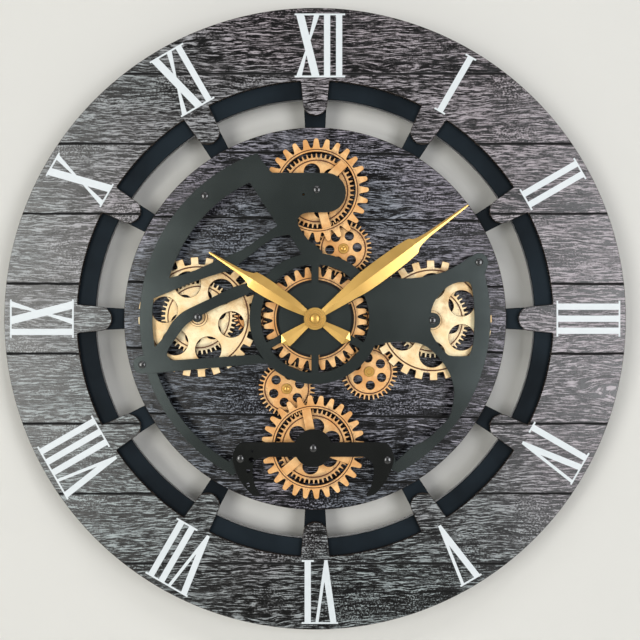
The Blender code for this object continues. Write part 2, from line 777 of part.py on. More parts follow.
PINION_HOLE_PHASES = {"upper_pinion": 5.0, "lower_left_pinion": 20.0, "drive_pinion": 35.0}


def make_drive_pinion():
    """The pinion on the gear motor's shaft, made in one piece with that shaft."""
    place = PINIONS["drive_pinion"]
    holes = ring_of_holes(6, PINION_HOLE_RADIUS, PINION_HOLE_CIRCLE, PINION_HOLE_PHASES["drive_pinion"],
                          PIN_SIDES)
    gear = prism("drive_pinion", fine_outline(PINION_TEETH, pinion_phase["drive_pinion"]), gear_back,
                 gear_front, holes + [core_hole(DRIVE_SHAFT_RADIUS, HOLE_SIDES)], place)
    shaft_end = frame_back - SEAT_GAP - 0.6 * MOTOR_DEPTH
    head = gear_front + SEAT_GAP
    shaft = turned("shaft", [
        (0, shaft_end), (DRIVE_SHAFT_RADIUS, shaft_end), (DRIVE_SHAFT_RADIUS, boss_back),
        (PINION_BOSS_RADIUS, boss_back), (PINION_BOSS_RADIUS, gear_front), (POST_HEAD_RADIUS, head),
        (POST_HEAD_RADIUS, head + 0.5 * POST_HEAD_HEIGHT), (0.6 * POST_HEAD_RADIUS, head + POST_HEAD_HEIGHT),
        (0, head + POST_HEAD_HEIGHT)], HOLE_SIDES, place)
    fuse(gear, shaft)
    return finish(gear, "aged_copper")


# Posts, axles, pillars and screws

def make_post(name, place, head_radius, head_height):
    """A shouldered screw: its stud is in the disc, its gear turns on the shoulder."""
    head = gear_front + SEAT_GAP
    post = turned(name, [
        (0, dial_back), (STUD_RADIUS, dial_back), (STUD_RADIUS, boss_back), (POST_RADIUS, boss_back),
        (POST_RADIUS, head), (head_radius, head), (head_radius, head + 0.5 * head_height),
        (0.6 * head_radius, head + head_height), (0, head + head_height)], HOLE_SIDES, place)
    return finish(post, "brass")


def make_axle(name, place, front):
    """A plain rod from the disc to the plate, with a threaded hole for its screw."""
    thread = SCREW_SHANK_RADIUS + SCREW_GAP
    depth = front - SCREW_REACH - SEAT_GAP
    axle = turned(name, [(0, dial_back), (AXLE_RADIUS, dial_back), (AXLE_RADIUS, front), (thread, front),
                         (thread, depth), (0, depth)], HOLE_SIDES, place)
    return finish(axle, "steel")


def make_pillar(name, place, shoulder, front):
    """A standoff on the disc; where its shoulder is lower than its front it has a neck."""
    thread = SCREW_SHANK_RADIUS + SCREW_GAP
    depth = front - SCREW_REACH - SEAT_GAP
    profile = [(0, dial_back), (STUD_RADIUS, dial_back), (STUD_RADIUS, boss_back)]
    profile += [(PILLAR_RADIUS, boss_back), (PILLAR_RADIUS, shoulder)]
    if front > shoulder:
        profile += [(PILLAR_NECK_RADIUS, shoulder), (PILLAR_NECK_RADIUS, front)]
    profile += [(thread, front), (thread, depth), (0, depth)]
    return finish(turned(name, profile, HOLE_SIDES, place), "black_steel")


def make_screw(name, place, seat, end):
    """A domed screw whose head lies on the seat and whose shank reaches back to the end."""
    base = seat + SEAT_GAP
    screw = turned(name, [
        (0, end), (SCREW_SHANK_RADIUS, end), (SCREW_SHANK_RADIUS, base), (SCREW_HEAD_RADIUS, base),
        (SCREW_HEAD_RADIUS, base + 0.3 * SCREW_HEAD_HEIGHT),
        (0.7 * SCREW_HEAD_RADIUS, base + 0.8 * SCREW_HEAD_HEIGHT), (0, base + SCREW_HEAD_HEIGHT)],
        HOLE_SIDES, place)
    return finish(screw, "black_steel")


plate_post_front = plate_back - SEAT_GAP
bridge_post_front = bridge_back - SEAT_GAP
strap_post_front = strap_back - SEAT_GAP
# For each pillar: its shoulder, its front end and the sheet that its screw holds down
PILLAR_BUILD = (
    (plate_post_front, plate_post_front, plate_front),
    (strap_post_front, strap_post_front, plate_front),
    (strap_post_front, bridge_post_front, bridge_front),
    (plate_post_front, plate_post_front, bridge_front),
    (plate_post_front, plate_post_front, plate_front),
)
AXLE_BUILD = {
    "top": (plate_post_front, plate_front),
    "bottom": (bridge_post_front, bridge_front),
    "left": (plate_post_front, plate_front),
    "right": (plate_post_front, plate_front),
}


def make_posts_and_screws():
    for number, (place, (shoulder, front, seat)) in enumerate(zip(PILLARS, PILLAR_BUILD), 1):
        make_pillar(f"pillar_{number}", place, shoulder, front)
        make_screw(f"pillar_screw_{number}", place, seat, front - SCREW_REACH)
    for side, (front, seat) in AXLE_BUILD.items():
        make_axle(f"axle_{side}", AXLES[side], front)
        make_screw(f"axle_screw_{side}", AXLES[side], seat, front - SCREW_REACH)
    for name in ("upper_pinion", "lower_left_pinion"):
        make_post(f"{name}_post", PINIONS[name], POST_HEAD_RADIUS, POST_HEAD_HEIGHT)
    for name, place in IDLERS.items():
        make_post(f"{name}_post", place, IDLER_HEAD_RADIUS, IDLER_HEAD_HEIGHT)


# Main plate: a ring with six windows, a band, arms, three bars and a wing

band_inner_radius = plate_radius - BAND_WIDTH
band_lower_inner_radius = plate_radius - BAND_LOWER_WIDTH
strap_outer_radius = plate_radius + STRAP_OVERHANG
strap_inner_radius = strap_outer_radius - STRAP_WIDTH


def plate_sheet(name, outline, holes=()):
    return prism(name, outline, plate_back, plate_front, holes)


def on_plate(*points):
    """Points in millimetres as drawn for the plate's own radius; another radius stretches them along."""
    return scaled(in_mm(*points), plate_stretch)


def make_plate_ring():
    spokes = [30 + 60 * n for n in range(6)]
    windows = [
        rounded(window(PLATE_WINDOW_INNER, PLATE_WINDOW_OUTER, angle, angle + 60, PLATE_SPOKE_HALF_WIDTH, 4),
                PLATE_WINDOW_FILLET, 1)
        for angle in spokes
    ]
    return plate_sheet("main_plate", circle(PLATE_RING_RADIUS, 48), windows + [bush_hole])


def make_left_band():
    """The broad arc on the left, narrower below its step, ending in a lobe at a pillar."""
    end = pillar_angle[1]
    outline = arc(plate_radius, BAND_START, end, 16)
    outline += arc(band_lower_inner_radius, end, BAND_STEP, 5)
    outline += arc(band_inner_radius, BAND_STEP, BAND_START, 10)
    return plate_sheet("band", outline)


def make_top_arm():
    """From the band's top corner to the round lobe over the top axle, and down a neck to the ring."""
    lobe = (AXLES["top"][0] + TOP_LOBE_OFFSET, AXLES["top"][1] - 3.0 * MM)
    band = (band_inner_radius + plate_radius) / 2
    neck = smooth(on_plate((-5.8, 100.7), (-12.3, 99.0), (-15.6, 95.2), (-16.2, 90.4), (-14.0, 85.3),
                           (-6.3, 74.6), (0.5, 69.8), (7.3, 63.1)))
    outline = [polar(band, BAND_START + 7), polar(plate_radius, BAND_START + 0.4)]
    outline.append((-41.2 * MM, lobe[1] + 18.9 * MM))
    outline += arc(TOP_LOBE_RADIUS, 90, -90, 10, lobe)
    outline += neck
    outline += [polar(PLATE_RING_RADIUS - 5 * MM, 84), polar(PLATE_RING_RADIUS - 5 * MM, 100)]
    outline += on_plate((-24.5, 80.2), (-35.4, 88.2))
    outline += [polar(band_inner_radius + 3.6 * MM, BAND_START + 6.7)]
    return plate_sheet("arm", outline)


def make_bar_a():
    """The slanting bar that crosses the left wheel above its hub."""
    start = polar(band_inner_radius + 2 * MM, BAND_STEP - 0.6)
    end = polar(band_lower_inner_radius, 172.8)
    upper = smooth([start] + on_plate((-115.8, 45.1), (-91.6, 55.8), (-67.4, 66.1), (-55.3, 74.6),
                                      (-43.3, 83.0), (-33.0, 90.5)))
    lower = smooth(on_plate((-22.5, 80.0), (-37.2, 77.0), (-49.4, 69.7), (-61.4, 60.1), (-72.3, 51.6),
                            (-80.8, 46.2), (-103.7, 38.9), (-127.9, 29.5)) + [end])
    root = [polar(plate_radius - 4 * MM, 172.8), polar(plate_radius - 4 * MM, BAND_STEP + 1)]
    return plate_sheet("bar", upper + lower + root)


def make_bar_b():
    """The middle bar: it runs past the left axle and curves down into the band."""
    ring_end = [polar(PLATE_RING_RADIUS - 6 * MM, 155), polar(PLATE_RING_RADIUS - 6 * MM, 150)]
    end = polar(band_lower_inner_radius, 190.0)
    upper = smooth(on_plate((-60.0, 34.9), (-79.6, 29.0), (-100.8, 18.4), (-118.2, 10.2), (-127.9, 4.4),
                            (-135.6, -3.7), (-144.5, -18.7)) + [end])
    lower = smooth(on_plate((-140.5, -36.0), (-139.0, -29.0), (-132.6, -19.3), (-125.0, -8.9),
                            (-118.2, -2.7), (-104.7, 4.8), (-89.2, 12.6), (-69.9, 20.4), (-57.5, 26.7)))
    root = [polar(plate_radius - 4 * MM, 190.0), polar(plate_radius - 4 * MM, 194.0)]
    return plate_sheet("bar", upper + root + lower + ring_end)


def make_bar_c():
    """The lower bar, almost level, from the left lobe to the ring."""
    end = PILLARS[1]
    upper = smooth(on_plate((-143.0, -31.0), (-138.5, -37.0), (-133.0, -39.2), (-108.6, -37.7),
                            (-54.0, -33.8)))
    lower = smooth(on_plate((-45.0, -41.9), (-100.4, -47.0), (-147.7, -51.3)))
    return plate_sheet("bar", [(end[0] + 4 * MM, end[1] + 6 * MM)] + upper + lower
                       + [(end[0] + 4 * MM, end[1] - PILLAR_LOBE_RADIUS)])


def make_wing():
    """The broad wing over the right wheel, with its opening, and the sickle arm below it."""
    lobe = PILLARS[4]
    foot = PILLARS[3]
    ring = PLATE_RING_RADIUS - 6 * MM
    start = polar(ring, 29)
    upper = smooth([start] + on_plate((60.5, 32.0), (68.6, 38.6), (80.1, 38.2), (94.6, 38.6), (109.1, 41.1),
                                      (123.6, 45.0), (138.1, 52.7), (145.9, 58.5)))
    crown = arc(PILLAR_LOBE_RADIUS, 140, -20, 8, lobe)
    notch = [polar(plate_radius, 14.6)]
    outer = arc(plate_radius, 13.0, -61.5, 14)
    hook = moved(in_mm((5, -10), (-3, -5), (-2, 4)), foot)
    lower = smooth(on_plate((75.3, -136.7), (92.7, -121.2), (104.3, -115.4), (115.9, -105.7),
                            (127.5, -92.2), (131.7, -72.8), (130.4, -60.9), (126.6, -50.2), (118.8, -38.6),
                            (109.1, -29.0), (99.5, -23.7), (87.9, -22.2), (75.3, -22.2), (65.6, -23.2),
                            (59.0, -25.5)))
    inside = smooth(on_plate((110.1, 7.8), (114.0, 17.4), (124.1, 29.0), (133.3, 33.8), (140.1, 34.7),
                             (146.8, 33.8), (149.8, 21.3), (151.0, 0.0), (149.8, -22.2), (146.8, -32.9),
                             (144.0, -35.2), (128.5, -35.2), (122.7, -30.9), (114.0, -20.3),
                             (109.6, -11.6)))
    wing = plate_sheet("wing", upper + crown + notch + outer + hook + lower + [polar(ring, 334)], [inside])
    # A boss reaches into the opening to hold the right axle's screw
    boss = AXLES["right"]
    fuse(wing, plate_sheet("boss", circle(RIGHT_BOSS_RADIUS, SMALL_SIDES, boss)),
         plate_sheet("root", moved(in_mm((-16, 6), (-16, -6), (-1, -5.2), (-1, 5.2)), boss)))
    return wing


def make_main_plate():
    plate = make_plate_ring()
    fuse(plate, make_left_band(), make_top_arm(), make_bar_a(), make_bar_b(), make_bar_c(), make_wing())
    fuse(plate, plate_sheet("lobe", circle(PILLAR_LOBE_RADIUS, SMALL_SIDES, PILLARS[1])),
         plate_sheet("boss", circle(LEFT_BOSS_RADIUS, SMALL_SIDES, AXLES["left"])),
         plate_sheet("root", moved(in_mm((-3, 0), (3, 0), (3, 8), (-3, 8)), AXLES["left"])),
         plate_sheet("foot", circle(PILLAR_LOBE_RADIUS - FOOT_INSET, SMALL_SIDES, PILLARS[3])))
    for place in PILLARS[:2] + PILLARS[3:] + [AXLES["top"], AXLES["left"], AXLES["right"]]:
        cut(plate, prism("drill", screw_hole(place), plate_back - MM, plate_front + MM))
    return finish(plate, "plate_paint")


def make_left_strap():
    """The thin arc behind the plate, from the left lobe's pillar to the bridge's left pillar."""
    start = pillar_angle[1]
    end = pillar_angle[2]
    strap = prism("left_strap", arc(strap_outer_radius, start - 1, end + 1, 9)
                  + arc(strap_inner_radius, end - 1, start - 1, 9), strap_back, strap_front)
    lobe = prism("lobe", circle(PILLAR_LOBE_RADIUS - MM, SMALL_SIDES, PILLARS[1]), strap_back, strap_front)
    foot_outline = circle(PILLAR_LOBE_RADIUS - FOOT_INSET, SMALL_SIDES, PILLARS[2])
    foot = prism("foot", foot_outline, strap_back, strap_front)
    corners = [polar(strap_outer_radius - MM, end + 0.6), polar(pillar_radius[2], end + 2.2)]
    corners += [polar(pillar_radius[2], end - 2.2), polar(strap_inner_radius + MM, end - 3.0)]
    link = prism("link", corners, strap_back, strap_front)
    fuse(strap, lobe, link, foot)
    neck = circle(PILLAR_NECK_RADIUS + RUNNING_GAP, HOLE_SIDES, PILLARS[2])
    cut(strap, prism("drill", screw_hole(PILLARS[1]), strap_back - MM, strap_front + MM),
        prism("drill", neck, strap_back - MM, strap_front + MM))
    return finish(strap, "plate_paint")


def bridge_half(side):
    """Half of the bridge about the bottom axle, from the disc's top to its foot."""
    upper_reach = math.sqrt(BRIDGE_DISC_RADIUS ** 2 - BRIDGE_ARM_UPPER ** 2)
    lower_reach = math.sqrt(BRIDGE_DISC_RADIUS ** 2 - BRIDGE_ARM_LOWER ** 2)
    top = math.degrees(math.atan2(BRIDGE_ARM_UPPER, upper_reach))
    foot = math.degrees(math.atan2(-BRIDGE_ARM_LOWER, lower_reach))
    half = arc(BRIDGE_DISC_RADIUS, 90, top, 5)[1:]
    half += [(61.7 * MM, BRIDGE_ARM_UPPER)]
    half += in_mm((69.4, 4.5), (74.2, -1.0), (76.3, -9.3), (74.2, -19.1), (70.0, -28.9), (64.4, -37.2),
                  (57.5, -44.1), (50.6, -45.3), (50.6, -42.7), (54.8, -35.8), (56.9, -26.0), (56.9, -16.4),
                  (53.4, -10.8))
    half += [(47.8 * MM, -BRIDGE_ARM_LOWER)]
    half += arc(BRIDGE_DISC_RADIUS, foot, -90, 5)[:-1]
    return [(side * x, z) for x, z in half]


def make_bottom_bridge():
    outline = bridge_half(1) + [(0.0, -BRIDGE_DISC_RADIUS)]
    outline += bridge_half(-1)[::-1] + [(0.0, BRIDGE_DISC_RADIUS)]
    place = AXLES["bottom"]
    holes = [screw_hole(spot) for spot in (place, PILLARS[2], PILLARS[3])]
    holes += [circle(radius * MM, PIN_SIDES, (place[0] + x * MM, place[1] + z * MM))
              for x, z, radius in ((-58.9, -10.8, 2.4), (-62.1, -21.2, 1.9), (-62.1, -34.4, 1.9))]
    bridge = prism("bottom_bridge", moved(outline, place), bridge_back, bridge_front, holes)
    return finish(bridge, "bridge_paint")


# Hands with a ridge along the middle

MINUTE_STATIONS = (
    (0.055, 3.4), (0.067, 3.7), (0.24, 7.7), (0.35, 9.7), (0.47, 9.9), (0.6, 8.9), (0.645, 8.0), (0.66, 5.7),
    (0.705, 3.4), (0.78, 2.3), (0.9, 1.5), (1.0, 0.8))
HOUR_STATIONS = (
    (0.085, 3.3), (0.094, 3.5), (0.24, 6.6), (0.37, 7.7), (0.48, 8.5), (0.588, 8.1), (0.606, 5.8),
    (0.66, 4.0), (0.72, 2.9), (0.8, 2.1), (0.9, 1.5), (1.0, 0.8))
TAIL_STATIONS = ((0.2, 3.2), (0.29, 3.2), (0.88, 6.9), (1.0, 0.7))


def blade(name, stations, length, back, angle, ridge):
    """A long roof-shaped blade: flat behind, with a ridge along the middle of its front."""
    bm = bmesh.new()
    sections = []
    for share, half_width in stations:
        half = half_width * MM
        corners = [(half, back), (half, back + HAND_EDGE), (0.0, back + ridge), (-half, back + HAND_EDGE),
                   (-half, back)]
        section = []
        for across, out in corners:
            x, z = turned_by([(share * length, across)], angle)[0]
            section.append(bm.verts.new((x, -out, z)))
        sections.append(section)
    for one, two in zip(sections, sections[1:]):
        for k in range(5):
            m = (k + 1) % 5
            bm.faces.new((one[k], one[m], two[m], two[k]))
    bm.faces.new(sections[0])
    bm.faces.new(sections[-1][::-1])
    return new_object(name, mesh_from(bm, name))


def make_hand(name, stations, length, back, angle, bore):
    """A blade and a tail joined to a round collar with a bore."""
    collar = [(bore, back), (HAND_COLLAR_RADIUS, back), (HAND_COLLAR_RADIUS, back + 0.75 * HAND_RIDGE)]
    collar += [(0.9 * HAND_COLLAR_RADIUS, back + HAND_RIDGE), (bore, back + HAND_RIDGE)]
    hand = turned(name, collar, MEDIUM_SIDES)
    inset = 0.05 * MM
    fuse(hand, blade("blade", stations, length, back + inset, angle, HAND_RIDGE - 2 * inset))
    tail_ridge = HAND_RIDGE - 3 * inset
    fuse(hand, blade("tail", TAIL_STATIONS, HAND_TAIL_LENGTH, back + inset, angle + 180, tail_ridge))
    return finish(hand, "gold")


def make_hands():
    make_hand("hour_hand", HOUR_STATIONS, HOUR_HAND_LENGTH, hour_back, HOUR_HAND_ANGLE,
              PIPE_RADIUS + RUNNING_GAP)
    make_hand("minute_hand", MINUTE_STATIONS, MINUTE_HAND_LENGTH, minute_back, MINUTE_HAND_ANGLE,
              ARBOR_RADIUS + RUNNING_GAP)
    base = minute_front + SEAT_GAP
    bore = ARBOR_RADIUS + RUNNING_GAP
    nut = turned("hand_nut", [(bore, base), (NUT_RADIUS, base), (NUT_RADIUS, base + 0.55 * NUT_HEIGHT),
                              (0.7 * NUT_RADIUS, base + NUT_HEIGHT), (bore, base + NUT_HEIGHT)], SMALL_SIDES)
    finish(nut, "brass")


# Clock movement: bush, case, arbor and the motion work that drives the hour hand

motion_coarse = 2 * MOTION_DISTANCE / (CANNON_TEETH + MINUTE_WHEEL_TEETH)
motion_fine = 2 * MOTION_DISTANCE / (MINUTE_PINION_TEETH + HOUR_WHEEL_TEETH)
MINUTE_WHEEL_PLACE = (0.0, MOTION_DISTANCE)
cannon_back = case_back + 2.3 * MM
cannon_front = cannon_back + 2.4 * MM
minute_wheel_back = cannon_back + 0.3 * MM
minute_wheel_front = minute_wheel_back + 1.8 * MM
hour_wheel_back = cannon_front + 0.7 * MM
hour_wheel_front = hour_wheel_back + 2.0 * MM
knob_back = 0.5 * MM
knob_front = 2.1 * MM
knob_stem_front = cannon_back - 0.1 * MM


def motion_outline(teeth, phase, module):
    return fine_outline(teeth, phase, module, MOTION_TOOTH_HEAD, MOTION_TOOTH_FOOT)


def make_minute_arbor():
    front = minute_front + SEAT_GAP + NUT_HEIGHT + 0.5 * MM
    back = cannon_back - 1.0 * MM
    arbor = turned("minute_arbor", [(0, back), (ARBOR_RADIUS, back), (ARBOR_RADIUS, front), (0, front)],
                   HOLE_SIDES)
    pinion = prism("cannon", motion_outline(CANNON_TEETH, 0.0, motion_coarse), cannon_back, cannon_front)
    fuse(arbor, pinion)
    return finish(arbor, "brass")


def make_minute_wheel():
    place = MINUTE_WHEEL_PLACE
    phase = meshing_phase(CENTRE, CANNON_TEETH, 0.0, place, MINUTE_WHEEL_TEETH)
    coarse = motion_outline(MINUTE_WHEEL_TEETH, phase, motion_coarse)
    wheel = prism("minute_wheel", coarse, minute_wheel_back, minute_wheel_front, centre=place)
    fine = motion_outline(MINUTE_PINION_TEETH, 0.0, motion_fine)
    pinion = prism("pinion", fine, minute_wheel_front - 0.5 * MM, hour_wheel_front + 0.8 * MM, centre=place)
    tip = case_front - CASE_WALL - SEAT_GAP
    end = knob_front + 0.8 * MM
    arbor = turned("arbor", [(0, end), (1.0 * MM, end), (1.0 * MM, tip), (0, tip)], 8, place)
    fuse(wheel, pinion, arbor)
    return finish(wheel, "white_plastic")


def make_hour_wheel():
    """The hour wheel with its pipe, which carries the hour hand."""
    bore = ARBOR_RADIUS + RUNNING_GAP
    phase = meshing_phase(MINUTE_WHEEL_PLACE, MINUTE_PINION_TEETH, 0.0, CENTRE, HOUR_WHEEL_TEETH)
    wheel = prism("hour_wheel", motion_outline(HOUR_WHEEL_TEETH, phase, motion_fine), hour_wheel_back,
                  hour_wheel_front, [circle(bore + 0.4 * MM, HOLE_SIDES, phase=15)])
    pipe = turned("pipe", [(bore, hour_wheel_back - 0.2 * MM), (PIPE_RADIUS, hour_wheel_back - 0.2 * MM),
                           (PIPE_RADIUS, hour_front + 0.3 * MM), (bore, hour_front + 0.3 * MM)], HOLE_SIDES)
    fuse(wheel, pipe)
    return finish(wheel, "white_plastic")


def make_threaded_bush():
    bore = PIPE_RADIUS + RUNNING_GAP
    front = plate_front + 2.0 * MM
    bush = turned("threaded_bush", [(bore, frame_back), (BUSH_RADIUS, frame_back), (BUSH_RADIUS, front),
                                    (bore, front)], SMALL_SIDES)
    return finish(bush, "brass")


def make_movement_case():
    """The case, open towards the wall, where the rear housing closes it."""
    half = CASE_HALF_WIDTH
    inner = half - CASE_WALL
    case = block("movement_case", (-half, case_back, -half), (half, case_front, half))
    cut(case, block("cavity", (-inner, case_back - MM, -inner), (inner, case_front - CASE_WALL, inner)))
    cut(case, prism("mouth", circle(PIPE_RADIUS + RUNNING_GAP, HOLE_SIDES), case_back, case_front + MM))
    return finish(case, "black_plastic")


def make_setting_knob():
    place = MINUTE_WHEEL_PLACE
    knob = turned("setting_knob", [
        (0, knob_back), (KNOB_RADIUS, knob_back), (KNOB_RADIUS, knob_front), (2.3 * MM, knob_front),
        (2.3 * MM, knob_stem_front), (1.3 * MM, knob_stem_front), (1.3 * MM, knob_front + 0.5 * MM),
        (0, knob_front + 0.5 * MM)], SMALL_SIDES, place)
    return finish(knob, "white_plastic")


# Cells, motor and rear housing

cell_out = case_back + SEAT_GAP + CELL_RADIUS + 0.1 * MM
clock_cell_height = -(CASE_HALF_WIDTH - CASE_WALL) + SEAT_GAP + CELL_RADIUS


def make_cell(name, height):
    """A cylindrical cell that lies level, with the small button of its positive end."""
    half = CELL_LENGTH / 2
    profile = [(0, -half), (CELL_RADIUS, -half), (CELL_RADIUS, half - 1.0 * MM), (2.6 * MM, half - 1.0 * MM),
               (2.6 * MM, half), (0, half)]
    cell = turned(name, profile, SMALL_SIDES)
    cell.data.transform(((0, 1, 0, 0), (-1, 0, 0, 0), (0, 0, 1, 0), (0, 0, 0, 1)))
    cell.location = (0.0, -cell_out, height)
    return finish(cell, "cell_sleeve")


def make_gear_motor():
    bore = DRIVE_SHAFT_RADIUS + RUNNING_GAP
    front = frame_back - SEAT_GAP
    back = front - MOTOR_DEPTH
    motor = turned("gear_motor", [
        (0, back), (0.55 * MOTOR_RADIUS, back), (0.55 * MOTOR_RADIUS, back + 0.35 * MOTOR_DEPTH),
        (MOTOR_RADIUS, back + 0.35 * MOTOR_DEPTH), (MOTOR_RADIUS, front), (bore, front),
        (bore, front - 0.62 * MOTOR_DEPTH), (0, front - 0.62 * MOTOR_DEPTH)],
        MEDIUM_SIDES, PINIONS["drive_pinion"])
    return finish(motor, "steel")


door_half = DOOR_WIDTH / 2
door_back = SEAT_GAP
recess_depth = door_back + DOOR_THICKNESS + SEAT_GAP


def make_rear_housing():
    """A round pan against the wall, with the door's recess, two cell bays and the knob's hole."""
    inner = HOUSING_RADIUS - HOUSING_WALL
    rim = frame_back - SEAT_GAP
    housing = turned("rear_housing", [(0, 0), (HOUSING_RADIUS, 0), (HOUSING_RADIUS, rim), (inner, rim),
                                      (inner, HOUSING_FLOOR), (0, HOUSING_FLOOR)], LARGE_SIDES // 2)
    end = CELL_LENGTH / 2 + SEAT_GAP
    opening = door_half - DOOR_LEDGE
    for side in (-1, 1):
        edges = sorted((side * end, side * (door_half + 1.5 * MM)))
        fuse(housing, block("cradle", (edges[0], 0.6 * HOUSING_FLOOR, GEAR_CELL_HEIGHT - CELL_RADIUS),
                            (edges[1], cell_out + 0.8 * CELL_RADIUS, GEAR_CELL_HEIGHT + CELL_RADIUS)))
    cut(housing, block("recess", (-door_half - SEAT_GAP, -MM, DOOR_BOTTOM - DOOR_TRAVEL - SEAT_GAP),
                       (door_half + SEAT_GAP, recess_depth, DOOR_TOP + SEAT_GAP)))
    cut(housing, block("bay", (-min(opening, end), -MM, DOOR_BOTTOM + DOOR_LEDGE),
                       (min(opening, end), HOUSING_FLOOR + MM, DOOR_TOP - 2.0 * MM)))
    cut(housing, prism("knob_hole", circle(KNOB_RADIUS + RUNNING_GAP, SMALL_SIDES, MINUTE_WHEEL_PLACE), -MM,
                       HOUSING_FLOOR + MM))
    return finish(housing, "black_plastic")


def make_battery_door():
    door = block("battery_door", (-door_half, door_back, DOOR_BOTTOM),
                 (door_half, door_back + DOOR_THICKNESS, DOOR_TOP))
    return finish(door, "black_plastic")


def make_wall_hanger():
    """A pressed plate on the frame's back: its raised middle has a keyhole for a screw head."""
    front = frame_back - SEAT_GAP
    raised = front - HANGER_RISE
    low = HANGER_HEIGHT - HANGER_HALF_HEIGHT
    high = HANGER_HEIGHT + HANGER_HALF_HEIGHT
    web = HANGER_HALF_WIDTH - HANGER_FLANGE
    head = (0.0, HANGER_HEIGHT - 3 * MM)
    side = math.degrees(math.asin(KEYHOLE_SLOT / KEYHOLE_RADIUS))
    keyhole = arc(KEYHOLE_RADIUS, 90 + side, 450 - side, 10, head)
    keyhole += arc(KEYHOLE_SLOT, 0, 180, 4, (0.0, HANGER_HEIGHT + 6 * MM))
    plate = prism("wall_hanger", bar(-web, web, low, high), raised, raised + HANGER_THICKNESS, [keyhole])
    for side in (-1, 1):
        inner, outer = sorted((side * (web - HANGER_THICKNESS), side * web))
        fuse(plate, block("web", (inner, raised, low), (outer, front, high)))
        near, far = sorted((side * (web - HANGER_THICKNESS), side * HANGER_HALF_WIDTH))
        fuse(plate, block("flange", (near, front - HANGER_THICKNESS, low), (far, front, high)))
    return finish(plate, "steel")


def make_bumpers():
    for side, angle in BUMPER_ANGLES.items():
        profile = [(0, 0), (0.85 * BUMPER_RADIUS, 0), (BUMPER_RADIUS, 1.5 * MM)]
        profile += [(BUMPER_RADIUS, frame_back - SEAT_GAP), (0, frame_back - SEAT_GAP)]
        bumper = turned(f"wall_bumper_{side}", profile, SMALL_SIDES, polar(FRAME_RADIUS - BUMPER_INSET, angle))
        finish(bumper, "rubber")


# Build everything

RING_PHASES = {"top": 0.74, "bottom": 3.69}
STRAP_ANGLES = {"top": 45.0, "bottom": 100.6}


def make_train():
    for side in AXLES:
        make_fine_gear(side)
    bore = AXLE_RADIUS + RUNNING_GAP
    for side, phase in RING_PHASES.items():
        make_ring_gear(f"{side}_ring_gear", AXLES[side], phase, STRAP_ANGLES[side], bore, 1.5 * HUB_RADIUS,
                       bore + SLEEVE_WALL)
    make_ring_gear("centre_ring_gear", CENTRE, 9.0, 30.0, BUSH_RADIUS + RUNNING_GAP, 1.4 * CENTRE_HUB_RADIUS,
                   0.75 * CENTRE_HUB_RADIUS)
    make_centre_drive_gear()
    make_wheel("left", 3.5, -12.5)
    make_wheel("right", 1.5, 30.0)
    for name in ("upper_pinion", "lower_left_pinion"):
        make_small_gear(name, PINIONS[name], PINION_TEETH, pinion_phase[name], PINION_HOLE_RADIUS,
                        PINION_HOLE_CIRCLE, PINION_HOLE_PHASES[name])
    make_drive_pinion()
    for name, place in IDLERS.items():
        make_small_gear(name, place, IDLER_TEETH, idler_phase[name], IDLER_HOLE_RADIUS, IDLER_HOLE_CIRCLE,
                        0.0)


def clear_scene():
    for thing in list(bpy.data.objects):
        bpy.data.objects.remove(thing)


clear_scene()
for finish_name in FINISHES:
    make_material(finish_name)
make_dial_ring()
make_back_frame()
make_centre_disc()
make_train()
make_posts_and_screws()
make_main_plate()
make_left_strap()
make_bottom_bridge()
make_hands()
make_minute_arbor()
make_minute_wheel()
make_hour_wheel()
make_threaded_bush()
make_movement_case()
make_setting_knob()
make_cell("clock_battery", clock_cell_height)
make_cell("gear_battery", GEAR_CELL_HEIGHT)
make_gear_motor()
make_rear_housing()
make_battery_door()
make_wall_hanger()
make_bumpers()
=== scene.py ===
# %% [markdown]
# # A round wall clock with turning gears
#
# The clock is a printed ring of board with white Roman numerals, a dark printed disc in its
# middle, and a train of painted gears that turns between the disc and two gold hands.
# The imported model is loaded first, as a fixed frame: it holds every part, its body and its
# axis. Each part that can be seen is then made again with finer edges, given its finish, and
# rides on the body of the part it stands for, so that every gear still turns.

import json
import math

import bmesh
import bpy
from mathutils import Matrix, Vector
from mathutils.geometry import tessellate_polygon


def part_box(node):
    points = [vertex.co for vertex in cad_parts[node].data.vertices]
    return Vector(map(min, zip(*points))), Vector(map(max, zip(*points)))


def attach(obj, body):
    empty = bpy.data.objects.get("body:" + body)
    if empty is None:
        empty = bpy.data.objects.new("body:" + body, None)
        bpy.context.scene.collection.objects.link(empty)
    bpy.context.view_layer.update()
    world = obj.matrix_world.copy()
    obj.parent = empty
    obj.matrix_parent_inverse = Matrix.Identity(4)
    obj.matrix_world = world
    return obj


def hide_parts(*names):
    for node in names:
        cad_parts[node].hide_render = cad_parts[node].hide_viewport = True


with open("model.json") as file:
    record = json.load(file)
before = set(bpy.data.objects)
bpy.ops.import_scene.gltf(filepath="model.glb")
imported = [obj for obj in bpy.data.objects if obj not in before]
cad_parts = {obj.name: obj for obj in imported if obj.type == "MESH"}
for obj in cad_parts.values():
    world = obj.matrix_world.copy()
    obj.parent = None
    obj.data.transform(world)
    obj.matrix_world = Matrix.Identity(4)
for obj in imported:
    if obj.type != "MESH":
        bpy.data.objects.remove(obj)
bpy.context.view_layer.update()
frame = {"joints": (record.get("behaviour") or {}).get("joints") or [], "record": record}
MM = 0.001

# %% [markdown]
# ## Where everything is
#
# The clock faces -Y, and distances from the wall are called "out", so a point that is out by
# 30 mm lies at y = -0.03. Three small functions read the frame: how far out a part begins and
# ends, where its axis is, and how wide it is. A part that is made again can then sit exactly
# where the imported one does, whatever its size.

# %% Read places from the frame
record = frame["record"]
body_of = {node: body for body, nodes in record["behaviour"]["bodies"].items() for node in nodes}


